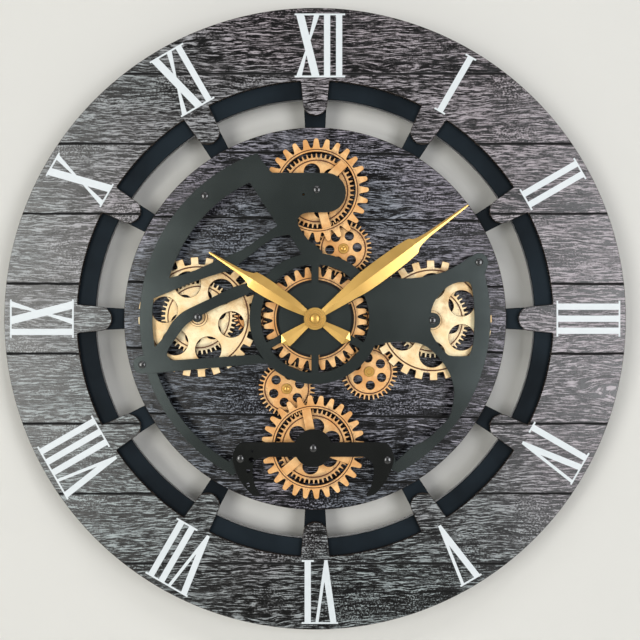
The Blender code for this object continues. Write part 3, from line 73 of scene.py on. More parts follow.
def out_range(node):
    """How far from the wall a part begins and ends."""
    low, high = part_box(node)
    return -high.y, -low.y


def axis_of(node):
    """The middle of a round part, seen from the front."""
    low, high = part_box(node)
    return ((low.x + high.x) / 2, (low.z + high.z) / 2)


def radius_of(node):
    """Half the width of a part."""
    low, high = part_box(node)
    return (high.x - low.x) / 2


AXLES = {side: axis_of(f"axle_{side}") for side in ("top", "bottom", "left", "right")}
PINIONS = {name: axis_of(f"{name}_post") for name in ("upper_pinion", "lower_left_pinion")}
IDLERS = {name: axis_of(f"{name}_post") for name in ("left_idler", "right_idler")}
joint_places = {joint["name"]: joint.get("pos_m") for joint in frame["joints"]}
drive_place = joint_places["drive_pinion_spin"]
PINIONS["drive_pinion"] = (drive_place[0], drive_place[2])
PILLARS = [axis_of(f"pillar_{number}") for number in range(1, 6)]
print("axles at", {side: [round(v / MM, 1) for v in place] for side, place in AXLES.items()})

# %% [markdown]
# ## Outlines
#
# Nearly every part of this clock is cut from sheet, so most of the modelling is flat drawing:
# lists of (x, z) points. Arcs, smooth curves through a few points, rounded corners and gear
# teeth are each one short function.


# %% Points, arcs and curves
def polar(radius, degrees, centre=(0.0, 0.0)):
    """The point at this distance and direction from a centre."""
    angle = math.radians(degrees)
    return (centre[0] + radius * math.cos(angle), centre[1] + radius * math.sin(angle))


def arc(radius, start, end, steps, centre=(0.0, 0.0)):
    """Points along part of a circle, from one direction to another in degrees."""
    return [polar(radius, start + (end - start) * n / steps, centre) for n in range(steps + 1)]


def circle(radius, segments, centre=(0.0, 0.0)):
    """A whole circle, whose last point isn't a copy of its first."""
    return arc(radius, 0, 360, segments, centre)[:-1]


def in_mm(*pairs):
    """Points given in millimetres, in Blender's metres."""
    return [(x * MM, z * MM) for x, z in pairs]


def turned_by(points, degrees):
    """The points turned anticlockwise about the clock's axis."""
    cosine = math.cos(math.radians(degrees))
    sine = math.sin(math.radians(degrees))
    return [(x * cosine - z * sine, x * sine + z * cosine) for x, z in points]


def moved(points, centre):
    """The points moved as far as the centre is from the clock's axis."""
    return [(x + centre[0], z + centre[1]) for x, z in points]


def smooth(points, steps=6):
    """A curve through every point, which heads from each point's neighbour before to the one after."""
    curve = []
    for n in range(len(points) - 1):
        before = points[max(n - 1, 0)]
        start = points[n]
        end = points[n + 1]
        after = points[min(n + 2, len(points) - 1)]
        for k in range(steps):
            t = k / steps
            curve.append(tuple(
                0.5 * (2 * b + (c - a) * t + (2 * a - 5 * b + 4 * c - d) * t * t
                       + (3 * b - a - 3 * c + d) * t ** 3)
                for a, b, c, d in zip(before, start, end, after)))
    return curve + [points[-1]]


def rounded(outline, radius, steps=4, corner=25.0):
    """The outline with each corner sharper than this many degrees cut to a small curve."""
    result = []
    count = len(outline)
    for n in range(count):
        before, here, after = outline[n - 1], outline[n], outline[(n + 1) % count]
        back = Vector((before[0] - here[0], before[1] - here[1]))
        ahead = Vector((after[0] - here[0], after[1] - here[1]))
        if math.degrees(math.pi - back.angle(ahead, math.pi)) < corner:
            result.append(here)
            continue
        reach = min(radius, 0.45 * back.length, 0.45 * ahead.length)
        start = Vector(here) + back.normalized() * reach
        end = Vector(here) + ahead.normalized() * reach
        for k in range(steps + 1):
            t = k / steps
            point = (1 - t) ** 2 * start + 2 * t * (1 - t) * Vector(here) + t * t * end
            result.append((point.x, point.y))
    return result


print("a square with eased corners has", len(rounded([(0, 0), (1, 0), (1, 1), (0, 1)], 0.1)), "points")

# %% [markdown]
# ## Solids
#
# A `Shape` collects closed shells in one mesh. Its `sheet` shell is a flat piece with holes and
# a fine chamfer all round, because a real cut edge always catches a thin line of light, and
# its `turned` shell is spun on the part's own axis, as on a lathe. `place` turns the
# collection into an object whose origin is on that axis, at the wall, so that it can turn.


# %% The shape builder
# An edge that bends by more degrees than this stays sharp where the rest is shaded smooth
SHARP = 28.0


def shade(mesh, angle=SHARP):
    """Smooth shading, with the edges that bend more than this kept sharp."""
    mesh.shade_smooth()
    mesh.set_sharp_from_angle(angle=math.radians(angle))


def area_of(points):
    """The area inside an outline, below zero if it runs clockwise."""
    return 0.5 * sum(a[0] * b[1] - b[0] * a[1] for a, b in zip(points, points[1:] + points[:1]))


def inset(points, distance):
    """Every side of an anticlockwise outline moved inwards by this distance."""
    result = []
    count = len(points)
    for n in range(count):
        here = Vector(points[n])
        one = (here - Vector(points[n - 1])).normalized()
        two = (Vector(points[(n + 1) % count]) - here).normalized()
        across = Vector((-one.y - two.y, one.x + two.x))
        share = max(1.0 + one.dot(two), 0.35)
        point = here + across * (distance / share)
        result.append((point.x, point.y))
    return result


def triangles_over(loops):
    """The triangles that fill an outline with holes. A few only fill well once they are turned."""
    wanted = sum(len(loop) for loop in loops) + 2 * (len(loops) - 1) - 2
    for angle in (0, 13, 29, 47):
        corners = [[(x, z, 0.0) for x, z in turned_by(loop, angle)] for loop in loops]
        triangles = [found for found in tessellate_polygon(corners) if len(set(found)) == 3]
        if len(triangles) == wanted:
            break
    return triangles


class Shape:
    """Closed shells in one mesh, drawn as (x, z) outlines and distances out from the wall."""

    def __init__(self):
        self.bm = bmesh.new()

    def bridge(self, rings):
        """Faces between neighbouring rings of vertices."""
        for one, two in zip(rings, rings[1:]):
            for k in range(len(one)):
                m = (k + 1) % len(one)
                corners = []
                for vertex in (one[k], one[m], two[m], two[k]):
                    if vertex not in corners:
                        corners.append(vertex)
                if len(corners) > 2:
                    self.bm.faces.new(corners)

    def sheet(self, outline, back, front, holes=(), chamfer=0.25 * MM):
        """A flat piece with holes, its edges chamfered on both faces."""
        loops = []
        caps = []
        for n, points in enumerate([outline, *holes]):
            edge = list(points) if area_of(points) > 0 else list(points)[::-1]
            face = inset(edge, chamfer if n == 0 else -chamfer)
            loops.append(face)
            rings = [[self.bm.verts.new((x, -out, z)) for x, z in line]
                     for line, out in ((face, back), (edge, back + chamfer), (edge, front - chamfer),
                                       (face, front))]
            self.bridge(rings)
            caps.append(rings)
        rear = [vertex for rings in caps for vertex in rings[0]]
        fore = [vertex for rings in caps for vertex in rings[-1]]
        for a, b, c in triangles_over(loops):
            self.bm.faces.new((rear[a], rear[b], rear[c]))
            self.bm.faces.new((fore[c], fore[b], fore[a]))
        return self

    def turned(self, profile, segments=72, centre=(0.0, 0.0)):
        """A closed profile of (radius, out) points, spun about an axis that runs out."""
        rings = []
        for radius, out in profile:
            if radius == 0:
                rings.append([self.bm.verts.new((centre[0], -out, centre[1]))] * segments)
            else:
                around = circle(radius, segments, centre)
                rings.append([self.bm.verts.new((x, -out, z)) for x, z in around])
        if profile[0][0] != 0:
            rings.append(rings[0])
        self.bridge(rings)
        return self

    def mesh(self, name, angle=SHARP):
        bmesh.ops.recalc_face_normals(self.bm, faces=self.bm.faces)
        mesh = bpy.data.meshes.new(name)
        self.bm.to_mesh(mesh)
        self.bm.free()
        shade(mesh, angle)
        return mesh

    def place(self, name, centre=(0.0, 0.0), angle=SHARP):
        return new_object(name, self.mesh(name, angle), centre)


def new_object(name, mesh, centre=(0.0, 0.0)):
    """An object in the scene whose origin is on its own axis, at the wall."""
    thing = bpy.data.objects.new(name, mesh)
    thing.location = (centre[0], 0.0, centre[1])
    bpy.context.scene.collection.objects.link(thing)
    return thing


washer = Shape().sheet(circle(5 * MM, 24), 0.0, MM, [circle(3 * MM, 24)])
print("a washer of 24 sides has", len(washer.bm.faces), "faces")
washer.bm.free()

# %% [markdown]
# ## A sheet joined from several outlines
#
# The front plate and the numerals are each one sheet, but they are easier to draw as members
# that overlap. Blender's exact Boolean joins thin blocks of the members. The edge of the
# joined block is then walked to get clean outlines back, which `Shape.sheet` can chamfer.


# %% Join outlines with the exact Boolean
def block(outline, back=0.0, front=MM):
    """A plain block that only serves to join or to cut."""
    shape = Shape().sheet(outline, back, front, chamfer=0.0)
    bmesh.ops.remove_doubles(shape.bm, verts=shape.bm.verts, dist=1e-7)
    return new_object("block", shape.mesh("block"))


def combine(body, tool, operation):
    """Apply one exact Boolean to a body and remove the tool."""
    modifier = body.modifiers.new("Boolean", "BOOLEAN")
    modifier.operation = operation
    modifier.solver = "EXACT"
    modifier.object = tool
    graph = bpy.context.evaluated_depsgraph_get()
    made = bpy.data.meshes.new_from_object(body.evaluated_get(graph))
    body.modifiers.clear()
    body.data = made
    bpy.data.objects.remove(tool)
    return body


def edge_loops(mesh):
    """The outlines of a flat block's front, the largest first."""
    bm = bmesh.new()
    bm.from_mesh(mesh)
    bmesh.ops.recalc_face_normals(bm, faces=bm.faces)
    front = {face for face in bm.faces if face.normal.y < -0.9}
    following = {}
    for face in front:
        for loop in face.loops:
            if not any(other in front for other in loop.edge.link_faces if other is not face):
                following[loop.vert.index] = loop.link_loop_next.vert
    places = {vertex.index: (vertex.co.x, vertex.co.z) for vertex in bm.verts}
    loops = []
    while following:
        start = next(iter(following))
        here = start
        points = []
        while here in following:
            points.append(places[here])
            here = following.pop(here).index
        loops.append(points)
    bm.free()
    return sorted(loops, key=lambda points: -abs(area_of(points)))


def tidy_loop(points, shortest=0.05 * MM):
    """Without points that are nearly on top of the one before."""
    kept = []
    for point in points:
        if not kept or math.dist(point, kept[-1]) > shortest:
            kept.append(point)
    if math.dist(kept[0], kept[-1]) <= shortest:
        kept.pop()
    return kept


# Smaller openings than this are only slits where two members don't quite overlap
SMALLEST_OPENING = 3.0 * MM * MM


def joined(outlines, cuts=(), last=()):
    """One outer edge and its holes, from outlines that overlap, others that cut, and a last few."""
    body = block(outlines[0])
    for group, operation in ((outlines[1:], "UNION"), (cuts, "DIFFERENCE"), (last, "UNION")):
        for outline in group:
            combine(body, block(outline), operation)
    loops = [tidy_loop(points) for points in edge_loops(body.data)]
    loops = [points for points in loops if abs(area_of(points)) > SMALLEST_OPENING]
    bpy.data.objects.remove(body)
    return loops[0], loops[1:]


# %% [markdown]
# ## Finishes as arithmetic
#
# A material is a graph of nodes, and most of them only add or multiply. `Wire` wraps
# one socket, so that `0.5 + 2 * grain` adds the Math nodes by itself. `Finish` is one
# material: `add` makes any other node, with its settings first and its sockets after, and the
# rest are short names for the nodes that this clock needs most.


# %% Wires and finishes
class Wire:
    """A socket of a finish. Sums and products of wires add Math nodes."""

    def __init__(self, finish, socket):
        self.finish = finish
        self.socket = socket

    def __add__(self, other):
        return self.finish.maths("ADD", self, other)

    def __sub__(self, other):
        return self.finish.maths("SUBTRACT", self, other)

    def __rsub__(self, other):
        return self.finish.maths("SUBTRACT", other, self)

    def __mul__(self, other):
        return self.finish.maths("MULTIPLY", self, other)

    def __truediv__(self, other):
        return self.finish.maths("DIVIDE", self, other)

    __radd__ = __add__
    __rmul__ = __mul__


def tint(red, green, blue):
    """A colour as it looks on screen, from 0 to 255, in the linear numbers a shader takes."""
    def linear(value):
        share = value / 255
        return share / 12.92 if share <= 0.04045 else ((share + 0.055) / 1.055) ** 2.4
    return (linear(red), linear(green), linear(blue), 1.0)


print("middle grey, 128 of 255, is", round(tint(128, 128, 128)[0], 3), "as a share of the light")
FINISHES = {}


class Finish:
    """One material, whose nodes all come from add(). It is kept in FINISHES by its name."""

    def __init__(self, name, sockets):
        FINISHES[name] = self
        self.material = bpy.data.materials.new(name)
        self.material.use_nodes = True
        self.tree = self.material.node_tree
        self.shader = self.tree.nodes["Principled BSDF"]
        for socket, value in sockets.items():
            self.shader.inputs[socket].default_value = value

    def join(self, socket, value):
        """Link a wire to a socket, or set the socket to a plain value."""
        if isinstance(value, Wire):
            self.tree.links.new(value.socket, socket)
        else:
            socket.default_value = value

    def add(self, kind, settings=None, inputs=None, output=0):
        """One node: its type, its settings, the values or wires of its sockets."""
        node = self.tree.nodes.new(kind)
        for name, value in (settings or {}).items():
            if name == "stops":
                self.set_stops(node.color_ramp, value)
            else:
                setattr(node, name, value)
        for name, value in (inputs or {}).items():
            self.join(node.inputs[name], value)
        return Wire(self, node.outputs[output])

    def set_stops(self, ramp, stops):
        """The stops of a colour ramp, each a position and a colour."""
        while len(ramp.elements) < len(stops):
            ramp.elements.new(1.0)
        for element, (position, colour) in zip(ramp.elements, stops):
            element.position = position
            element.color = colour

    def maths(self, operation, *values, clamp=False):
        """One Math node, for numbers."""
        settings = {"operation": operation, "use_clamp": clamp}
        return self.add("ShaderNodeMath", settings, dict(enumerate(values)))

    def clamped(self, value):
        """The value, kept between 0 and 1."""
        return self.maths("ADD", value, 0.0, clamp=True)

    def coordinates(self, output="Object"):
        """Where a point lies on the piece, in metres from its origin, or which way it faces."""
        return self.add("ShaderNodeTexCoord", output=output)

    def split(self, vector):
        parts = self.add("ShaderNodeSeparateXYZ", inputs={"Vector": vector})
        outputs = parts.socket.node.outputs
        return [Wire(self, outputs[n]) for n in range(3)]

    def vector(self, x, y, z):
        return self.add("ShaderNodeCombineXYZ", inputs={"X": x, "Y": y, "Z": z})

    def noise(self, vector, scale=1.0, detail=2.0, roughness=0.5):
        inputs = {"Vector": vector, "Scale": scale, "Detail": detail, "Roughness": roughness}
        return self.add("ShaderNodeTexNoise", inputs=inputs)

    def ramp(self, value, stops):
        return self.add("ShaderNodeValToRGB", {"stops": stops}, {"Fac": value})

    def mix(self, share, one, two, blend="MIX"):
        settings = {"data_type": "RGBA", "blend_type": blend}
        return self.add("ShaderNodeMix", settings, {0: share, 6: one, 7: two}, output=2)

    def step(self, value, low, high):
        """0 below low, 1 above high, and a smooth climb between."""
        settings = {"interpolation_type": "SMOOTHSTEP"}
        inputs = {"Value": value, "From Min": low, "From Max": high}
        return self.add("ShaderNodeMapRange", settings, inputs)

    def facing_out(self):
        """1 on surfaces that face the viewer, 0 on edges and backs."""
        out = self.split(self.coordinates("Normal"))[1]
        return self.step(0.0 - out, 0.85, 0.95)

    def set(self, socket, value):
        """Give one of the shader's own sockets a wire or a value."""
        self.join(self.shader.inputs[socket], value)
        return self

    def bump(self, height, distance, strength=1.0):
        inputs = {"Height": height, "Distance": distance, "Strength": strength}
        return self.set("Normal", self.add("ShaderNodeBump", inputs=inputs))


def dress(thing, finish, node, stands_for=True):
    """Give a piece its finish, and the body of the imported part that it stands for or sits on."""
    thing.data.materials.clear()
    thing.data.materials.append(FINISHES[finish].material)
    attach(thing, body_of[node])
    if stands_for:
        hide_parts(node)
    return thing


# %% [markdown]
# ## The plank print
#
# Ring and disc are boards with a printed picture of weathered planks. The print is drawn from
# the piece's own x and z. Rounding z down to whole planks numbers them, and a random value
# per number shifts the grain along, so that no plank carries on in the next. The grain itself
# is noise stretched far along x, drawn at three scales, with knots that push the lines
# apart, rough patches where the streaks break up into grit, fine cracks, and a dark seam at
# each joint. A last soft tint, from noise and a slope across the piece, turns the greys a little
# green towards the left and purple towards the right. The seams are matt and the boards are not, so that
# the lamps at the sides give the boards a sheen.


# %% A function that prints planks
def plank_print(name, shine, pitch, seam, tilt, stops, hue_stops, level, fineness, strength):
    """Planks of one pitch, with a seam at one height; level, fineness and strength are the grain's."""
    finish = Finish(name, {"Specular IOR Level": shine})
    place = finish.coordinates()
    if tilt:
        place = finish.add("ShaderNodeVectorRotate", {"rotation_type": "Y_AXIS"},
                           {"Vector": place, "Angle": math.radians(tilt)})
    x, out, z = finish.split(place)
    row = (z - seam) / pitch
    plank = finish.maths("FLOOR", row)
    within = row - plank
    luck = finish.add("ShaderNodeTexWhiteNoise", {"noise_dimensions": "1D"}, {"W": plank + 0.5})
    along = x + 3.1 * luck

    # Knots: near a knot's middle the height is pulled to the knot's own, so lines part round it
    knots = {"Vector": finish.vector(3.0 * along, 5.0 * plank, 9.0 * z), "Scale": 1.0}
    cell = finish.add("ShaderNodeTexVoronoi", {"feature": "F1"}, knots, output="Position")
    knot_x, _, knot_z = finish.split(cell)
    reach_x = along - knot_x / 3.0
    reach_z = z - knot_z / 9.0
    distance = finish.maths("SQRT", reach_x * reach_x * 0.25 + reach_z * reach_z)
    pull = 1.0 - finish.step(distance, 0.002, 0.02)
    wave = finish.noise(finish.vector(7.0 * along, 3.7 * plank, 26.0 * z), detail=1.0)
    ripple = finish.noise(finish.vector(34.0 * along, 1.3 * plank, 75.0 * z), detail=1.0)
    grain = z - 0.85 * pull * reach_z + 0.014 * wave + 0.006 * ripple
    fibre = finish.vector(76.0 * fineness * along, plank, 1000.0 * fineness * grain)
    strand = finish.vector(24.0 * fineness * along, plank, 540.0 * fineness * grain)

    # Streaks at three scales, from hair-fine to a finger wide
    fine = finish.noise(fibre, detail=3.0, roughness=0.65)
    medium = finish.noise(strand, detail=2.0, roughness=0.6)
    broad = finish.noise(finish.vector(6.0 * along, plank, 80.0 * grain), detail=2.0)
    grit = finish.noise(finish.vector(520.0 * x, plank, 600.0 * z), detail=2.0, roughness=0.7)
    patch = finish.step(finish.noise(finish.vector(9.0 * along, plank, 16.0 * z), detail=2.0), 0.52, 0.66)
    streak = strength * (6.4 * (fine - 0.5) + 3.4 * (medium - 0.5))
    speck = 3.6 * strength * (grit - 0.5)
    tone = level + streak * (1.0 - 0.6 * patch) + speck * (0.3 + 0.7 * patch)
    tone = tone + 0.9 * (broad - 0.5) + 0.28 * (luck - 0.5)

    # Cracks run where a stretched noise crosses its middle value, and only in some places
    crossing = finish.noise(finish.vector(6.5 * along, plank + 7.0, 95.0 * grain), detail=1.5)
    crack = 1.0 - finish.step(finish.maths("ABSOLUTE", crossing - 0.5), 0.01, 0.035)
    places = finish.noise(finish.vector(11.0 * along, plank + 3.0, 40.0 * z), detail=1.0)
    some = finish.step(places, 0.46, 0.6)
    hair = finish.noise(finish.vector(13.0 * along, plank + 5.0, 230.0 * grain), detail=1.0)
    line = 1.0 - finish.step(finish.maths("ABSOLUTE", hair - 0.47), 0.02, 0.07)
    tone = tone - 0.6 * crack * some - 0.28 * line
    ring = finish.maths("SINE", distance * 2400.0 + 6.0 * wave)
    tone = tone - (1.0 - finish.step(distance, 0.006, 0.011)) * (0.2 + 0.16 * ring)

    colour = finish.ramp(tone, stops)
    # A tint from noise and a slope across the piece: greener towards the left, purpler towards the right
    hue_drift = finish.noise(finish.vector(4.0 * x, 2.3, 5.5 * z), detail=2.0) + 0.55 * x + 0.25 * z
    colour = finish.mix(1.0, colour, finish.ramp(hue_drift, hue_stops), blend="MULTIPLY")
    gap = finish.maths("MINIMUM", within, 1.0 - within) * pitch
    board = finish.step(gap + 1.6 * MM * (ripple - 0.5), 0.8 * MM, 1.5 * MM)
    colour = finish.mix(board, tint(6, 6, 7), colour)
    edge = finish.ramp(finish.noise(finish.coordinates(), scale=260.0, detail=3.0),
                       [(0.3, tint(30, 25, 21)), (0.75, tint(66, 54, 44))])
    finish.set("Base Color", finish.mix(finish.facing_out(), edge, colour))
    finish.set("Roughness", finish.clamped(0.95 - 0.75 * board + 0.06 * tone))
    finish.bump(0.5 * tone + finish.step(gap, 0.2 * MM, 1.0 * MM), 0.04 * MM)


PLANK_STOPS = [(0.02, tint(4, 4, 5)), (0.27, tint(34, 33, 34)), (0.5, tint(82, 81, 82)),
               (0.78, tint(130, 130, 132)), (1.0, tint(168, 169, 172))]
PLANK_HUES = [(0.3, tint(240, 253, 250)), (0.45, tint(232, 238, 236)), (0.6, tint(255, 243, 247)),
                (0.72, tint(255, 240, 244))]
plank_print("dial_print", shine=0.55, pitch=67.5 * MM, seam=33.8 * MM, tilt=0.0, stops=PLANK_STOPS,
            hue_stops=PLANK_HUES, level=0.43, fineness=1.1, strength=1.3)
DISC_STOPS = [(0.0, tint(3, 3, 5)), (0.28, tint(27, 28, 31)), (0.52, tint(66, 68, 73)),
              (0.8, tint(118, 121, 127)), (1.0, tint(158, 160, 166))]
DISC_HUES = [(0.34, tint(200, 208, 214)), (0.44, tint(236, 240, 246)), (0.54, tint(255, 244, 252)),
               (0.68, tint(228, 212, 222))]
plank_print("disc_print", shine=0.45, pitch=63.3 * MM, seam=33.2 * MM, tilt=-0.75, stops=DISC_STOPS,
            hue_stops=DISC_HUES, level=0.37, fineness=1.25, strength=1.25)
print("printed", sorted(FINISHES))

# %% [markdown]
# ## Painted boards, plates and small metal
#
# Paint is never quite flat: sprayed paint has a faint orange peel, and a rolled board shows the
# fibres below. Those are small bumps. Age shows as a slow change of tone over the piece,
# so each finish mixes two close colours by soft noise.


# %% Paints and plastics
def painted(name, light, dark, roughness, peel, peel_height, sockets=None, edge=None):
    """A paint or plastic: two close tones, a fine texture and slightly uneven gloss."""
    finish = Finish(name, sockets or {})
    place = finish.coordinates()
    cloud = finish.step(finish.noise(place, scale=14.0, detail=3.0), 0.3, 0.7)
    colour = finish.mix(cloud, dark, light)
    finish.set("Base Color", finish.mix(finish.facing_out(), edge, colour) if edge else colour)
    texture = finish.noise(place, scale=peel, detail=2.0)
    finish.set("Roughness", finish.clamped(roughness + 0.1 * (texture - 0.5) + 0.06 * (cloud - 0.5)))
    finish.bump(texture, peel_height)


# The board's edges and back take a near-black: partly its black edge paint, partly painted shade on the walls
# of the windows
painted("frame_board", tint(31, 40, 47), tint(16, 22, 27), 0.5, 900.0, 0.05 * MM,
        {"Specular IOR Level": 0.06}, edge=tint(15, 17, 19))
painted("plate_paint", tint(33, 37, 35), tint(29, 33, 31), 0.21, 1500.0, 0.006 * MM,
        {"Specular IOR Level": 0.8, "Specular Tint": tint(238, 255, 254)})
painted("bridge_paint", tint(18, 20, 18), tint(14, 16, 14), 0.22, 1500.0, 0.006 * MM,
        {"Specular IOR Level": 0.3})
painted("numeral_white", tint(228, 234, 237), tint(222, 229, 232), 0.4, 1300.0, 0.008 * MM)
painted("black_plastic", tint(30, 31, 33), tint(24, 25, 27), 0.45, 1600.0, 0.03 * MM)
painted("white_plastic", tint(226, 226, 220), tint(214, 214, 206), 0.4, 1400.0, 0.02 * MM)
painted("cell_sleeve", tint(52, 92, 62), tint(40, 78, 52), 0.3, 500.0, 0.005 * MM)
painted("rubber", tint(34, 34, 34), tint(26, 26, 27), 0.75, 1200.0, 0.05 * MM)
print("finishes so far:", sorted(FINISHES))

# %% [markdown]
# ## Metals
#
# The gears are painted in a light copper that has been made to look old: soft blotches and fine
# specks on the faces, and brown in every groove and on every edge, which is partly old grime and
# partly painted shade. The face is known from the surface's own direction, which turns with the
# gear, and the distance from the gear's axis paints the ring of each groove dark as painted shade, with grime
# round it.


# %% Aged and polished metal
def aged_metal(name, pale, deep, brown, worn, grooves, metallic=0.3):
    """A gear's finish: a mottled face, brown edges, and brown round each groove's radius in millimetres, as
    grime and painted shade.
    """
    finish = Finish(name, {"Metallic": metallic})
    place = finish.coordinates()
    x, out, z = finish.split(place)
    radius = finish.maths("SQRT", x * x + z * z) / MM
    blotch = finish.step(finish.noise(place, scale=55.0, detail=3.0, roughness=0.6), 0.32, 0.7)
    speck = finish.noise(place, scale=1100.0, detail=2.0, roughness=0.7)
    colour = finish.mix(blotch, deep, pale)
    colour = finish.mix(finish.clamped(1.6 * (speck - 0.56)), colour, brown)
    rub = finish.step(finish.noise(place, scale=23.0, detail=4.0, roughness=0.7), worn, worn + 0.16)
    colour = finish.mix(rub * finish.clamped(0.4 + speck), colour, finish.mix(0.3, deep, brown))
    # Round each groove the colour goes brown: a hard band in the groove itself as painted shade, and a
    # speckled halo that is grime and painted shade
    for groove in grooves:
        away = finish.maths("ABSOLUTE", radius - groove)
        groove_grime_and_shade = (1.0 - finish.step(away, 0.4, 5.0)) * finish.step(speck + 0.6 * (blotch - 0.5), 0.42, 0.75)
        colour = finish.mix(0.55 * groove_grime_and_shade, colour, brown)
        colour = finish.mix(finish.step(away, 0.3, 0.6), brown, colour)
    # Every surface that doesn't face out, the edges and the sides of teeth, is brown: partly old brown paint,
    # partly painted shade
    finish.set("Base Color", finish.mix(finish.facing_out(), brown, colour))
    finish.set("Roughness", finish.clamped(0.42 + 0.2 * (blotch - 0.5) + 0.3 * (speck - 0.5)))
    finish.bump(speck, 0.02 * MM)


COPPER = (tint(252, 206, 144), tint(232, 168, 100), tint(92, 44, 18))
PALE_BRASS = (tint(255, 240, 200), tint(246, 208, 150), tint(96, 50, 22))


def brushed_metal(name, light, dark, roughness, sockets, brush=(30.0, 30.0, 900.0)):
    """Bare or plated metal with fine lines from brushing or turning."""
    finish = Finish(name, sockets)
    x, out, z = finish.split(finish.coordinates())
    lines = finish.noise(finish.vector(brush[0] * x, brush[1] * out, brush[2] * z), detail=3.0)
    cloud = finish.noise(finish.coordinates(), scale=40.0, detail=2.0)
    finish.set("Base Color", finish.mix(finish.clamped(0.6 * lines + 0.4 * cloud), dark, light))
    finish.set("Roughness", finish.clamped(roughness + 0.16 * (lines - 0.5)))
    finish.bump(lines, 0.006 * MM)


brushed_metal("hand_gold", tint(232, 190, 108), tint(224, 176, 94), 0.24, {"Metallic": 0.65},
              brush=(60.0, 60.0, 60.0))
brushed_metal("brass", tint(226, 182, 100), tint(196, 148, 70), 0.3, {"Metallic": 0.7})
# Dark steel for screws and pillars; on the gear behind the centre ring it is painted shade
brushed_metal("black_steel", tint(40, 41, 42), tint(28, 28, 29), 0.16, {"Specular IOR Level": 1.0})
brushed_metal("steel", tint(196, 198, 200), tint(164, 166, 168), 0.3, {"Metallic": 0.9})
print("finishes:", len(FINISHES))

# %% [markdown]
# ## The dial ring
#
# A ring of 6 mm board, with twelve tongues that point inwards under the numerals. It is one
# outline with one opening: arcs of the opening and, between them, tongues that narrow a
# little and end in a half circle, joined to the ring with small fillets.

# %% Cut the dial ring
dial_back, dial_face = out_range("centre_disc")
DIAL_RADIUS = radius_of("dial_ring")
OPENING_RADIUS = 230 * MM
TONGUE_TIP = 196.3 * MM
TONGUE_ROOT = 13.8 * MM
TONGUE_END = 11.8 * MM
HOURS = 12


def dial_opening():
    """The opening with its twelve tongues."""
    outline = []
    root = math.degrees(math.asin(TONGUE_ROOT / OPENING_RADIUS))
    for hour in range(HOURS):
        angle = hour * 360 / HOURS
        tip = arc(TONGUE_END, -90, -270, 24, (TONGUE_TIP + TONGUE_END, 0.0))
        outline += turned_by(tip, angle)
        outline += arc(OPENING_RADIUS, angle + root, angle + 360 / HOURS - root, 14)
    return rounded(outline, 1.6 * MM, corner=40)


dial = Shape().sheet(circle(DIAL_RADIUS, 288), dial_back, dial_face, [dial_opening()], 0.4 * MM)
dial = dress(dial.place("dial_board"), "dial_print", "dial_ring")
print("dial ring:", len(dial.data.polygons), "faces")

# %% [markdown]
# ## The numerals
#
# Each numeral is a set of strokes between two thin serif bars: I is a plain bar, V has a thick
# leg and a thin one, and X a thick stroke and a thin one that is narrowest at the crossing.
# The strokes stand a little proud of the board, so that their edges catch the light as thick
# paint does. In the photograph XII and VI both stand a little to the right of the middle, the
# numerals beside them do so by less, and III and IX not at all.

# %% Draw the letters
NUMERAL_INNER = 232.8 * MM
NUMERAL_HEIGHT = 61.6 * MM
SERIF = 1.7 * MM
THICK = 6.1 * MM
THIN = 3.0 * MM
PITCHES = {"I": 11.6 * MM, "V": 23.5 * MM, "X": 25.5 * MM}
NUMERALS = ("XII", "I", "II", "III", "IV", "V", "VI", "VII", "VIII", "IX", "X", "XI")
# How far XII and VI stand to the right; the others are shifted by the cosine of their angle
NUMERAL_SHIFT = 4.6 * MM
FOOT = 0.5 * SERIF
HEAD = NUMERAL_HEIGHT - 0.5 * SERIF


def bar(left, right, low, high):
    return [(left, low), (right, low), (right, high), (left, high)]


def strokes_of(letter, left):
    """The outlines of one letter that starts at left."""
    side = 0.25 * (PITCHES["I"] - THICK)
    if letter == "I":
        return [bar(left + 2 * side, left + 2 * side + THICK, FOOT, HEAD)]
    if letter == "V":
        low = left + side
        high = left + PITCHES["V"] - 0.5 * THIN
        point = 0.5 * (low + high)
        flat = 0.5 * THIN
        share = (THICK + THIN - 2 * flat) / (high - low - 2 * flat)
        notch = (point + flat - THIN + (high - point - flat) * share, share * HEAD)
        return [[(low, HEAD), (low + THICK, HEAD), notch, (high - THIN, HEAD), (high, HEAD),
                 (point + flat, 0.0), (point - flat, 0.0)]]
    low = left + side
    high = left + PITCHES["X"] - side
    centre = 0.5 * (low + high)
    thick = 1.25 * THICK
    thin = 1.8 * THIN
    waist = 0.25 * THIN
    return [[(low, HEAD), (low + thick, HEAD), (high, FOOT), (high - thick, FOOT)],
            [(high - thin, HEAD), (high, HEAD), (centre + waist, 0.5 * (FOOT + HEAD)), (low + thin, FOOT),
             (low, FOOT), (centre - waist, 0.5 * (FOOT + HEAD))]]


def numeral_outlines(numeral):
    """All strokes, with a serif bar over the numeral and one under each run of I and X."""
    outlines = []
    left = 0.0
    run = None
    for letter in numeral + " ":
        if letter in "V " and run is not None:
            outlines.append(bar(run, left, 0.0, SERIF))
            run = None
        if letter in "IX" and run is None:
            run = left
        if letter != " ":
            outlines += strokes_of(letter, left)
            left += PITCHES[letter]
    outlines.append(bar(0.0, left, NUMERAL_HEIGHT - SERIF, NUMERAL_HEIGHT))
    return [moved(points, (-left / 2, NUMERAL_INNER)) for points in outlines]


print("XII has", len(numeral_outlines("XII")), "strokes and serif bars")

# %% [markdown]
# Now each numeral is joined, turned to its hour and set on the ring. All twelve are one mesh,
# because they are one layer of paint on one board.

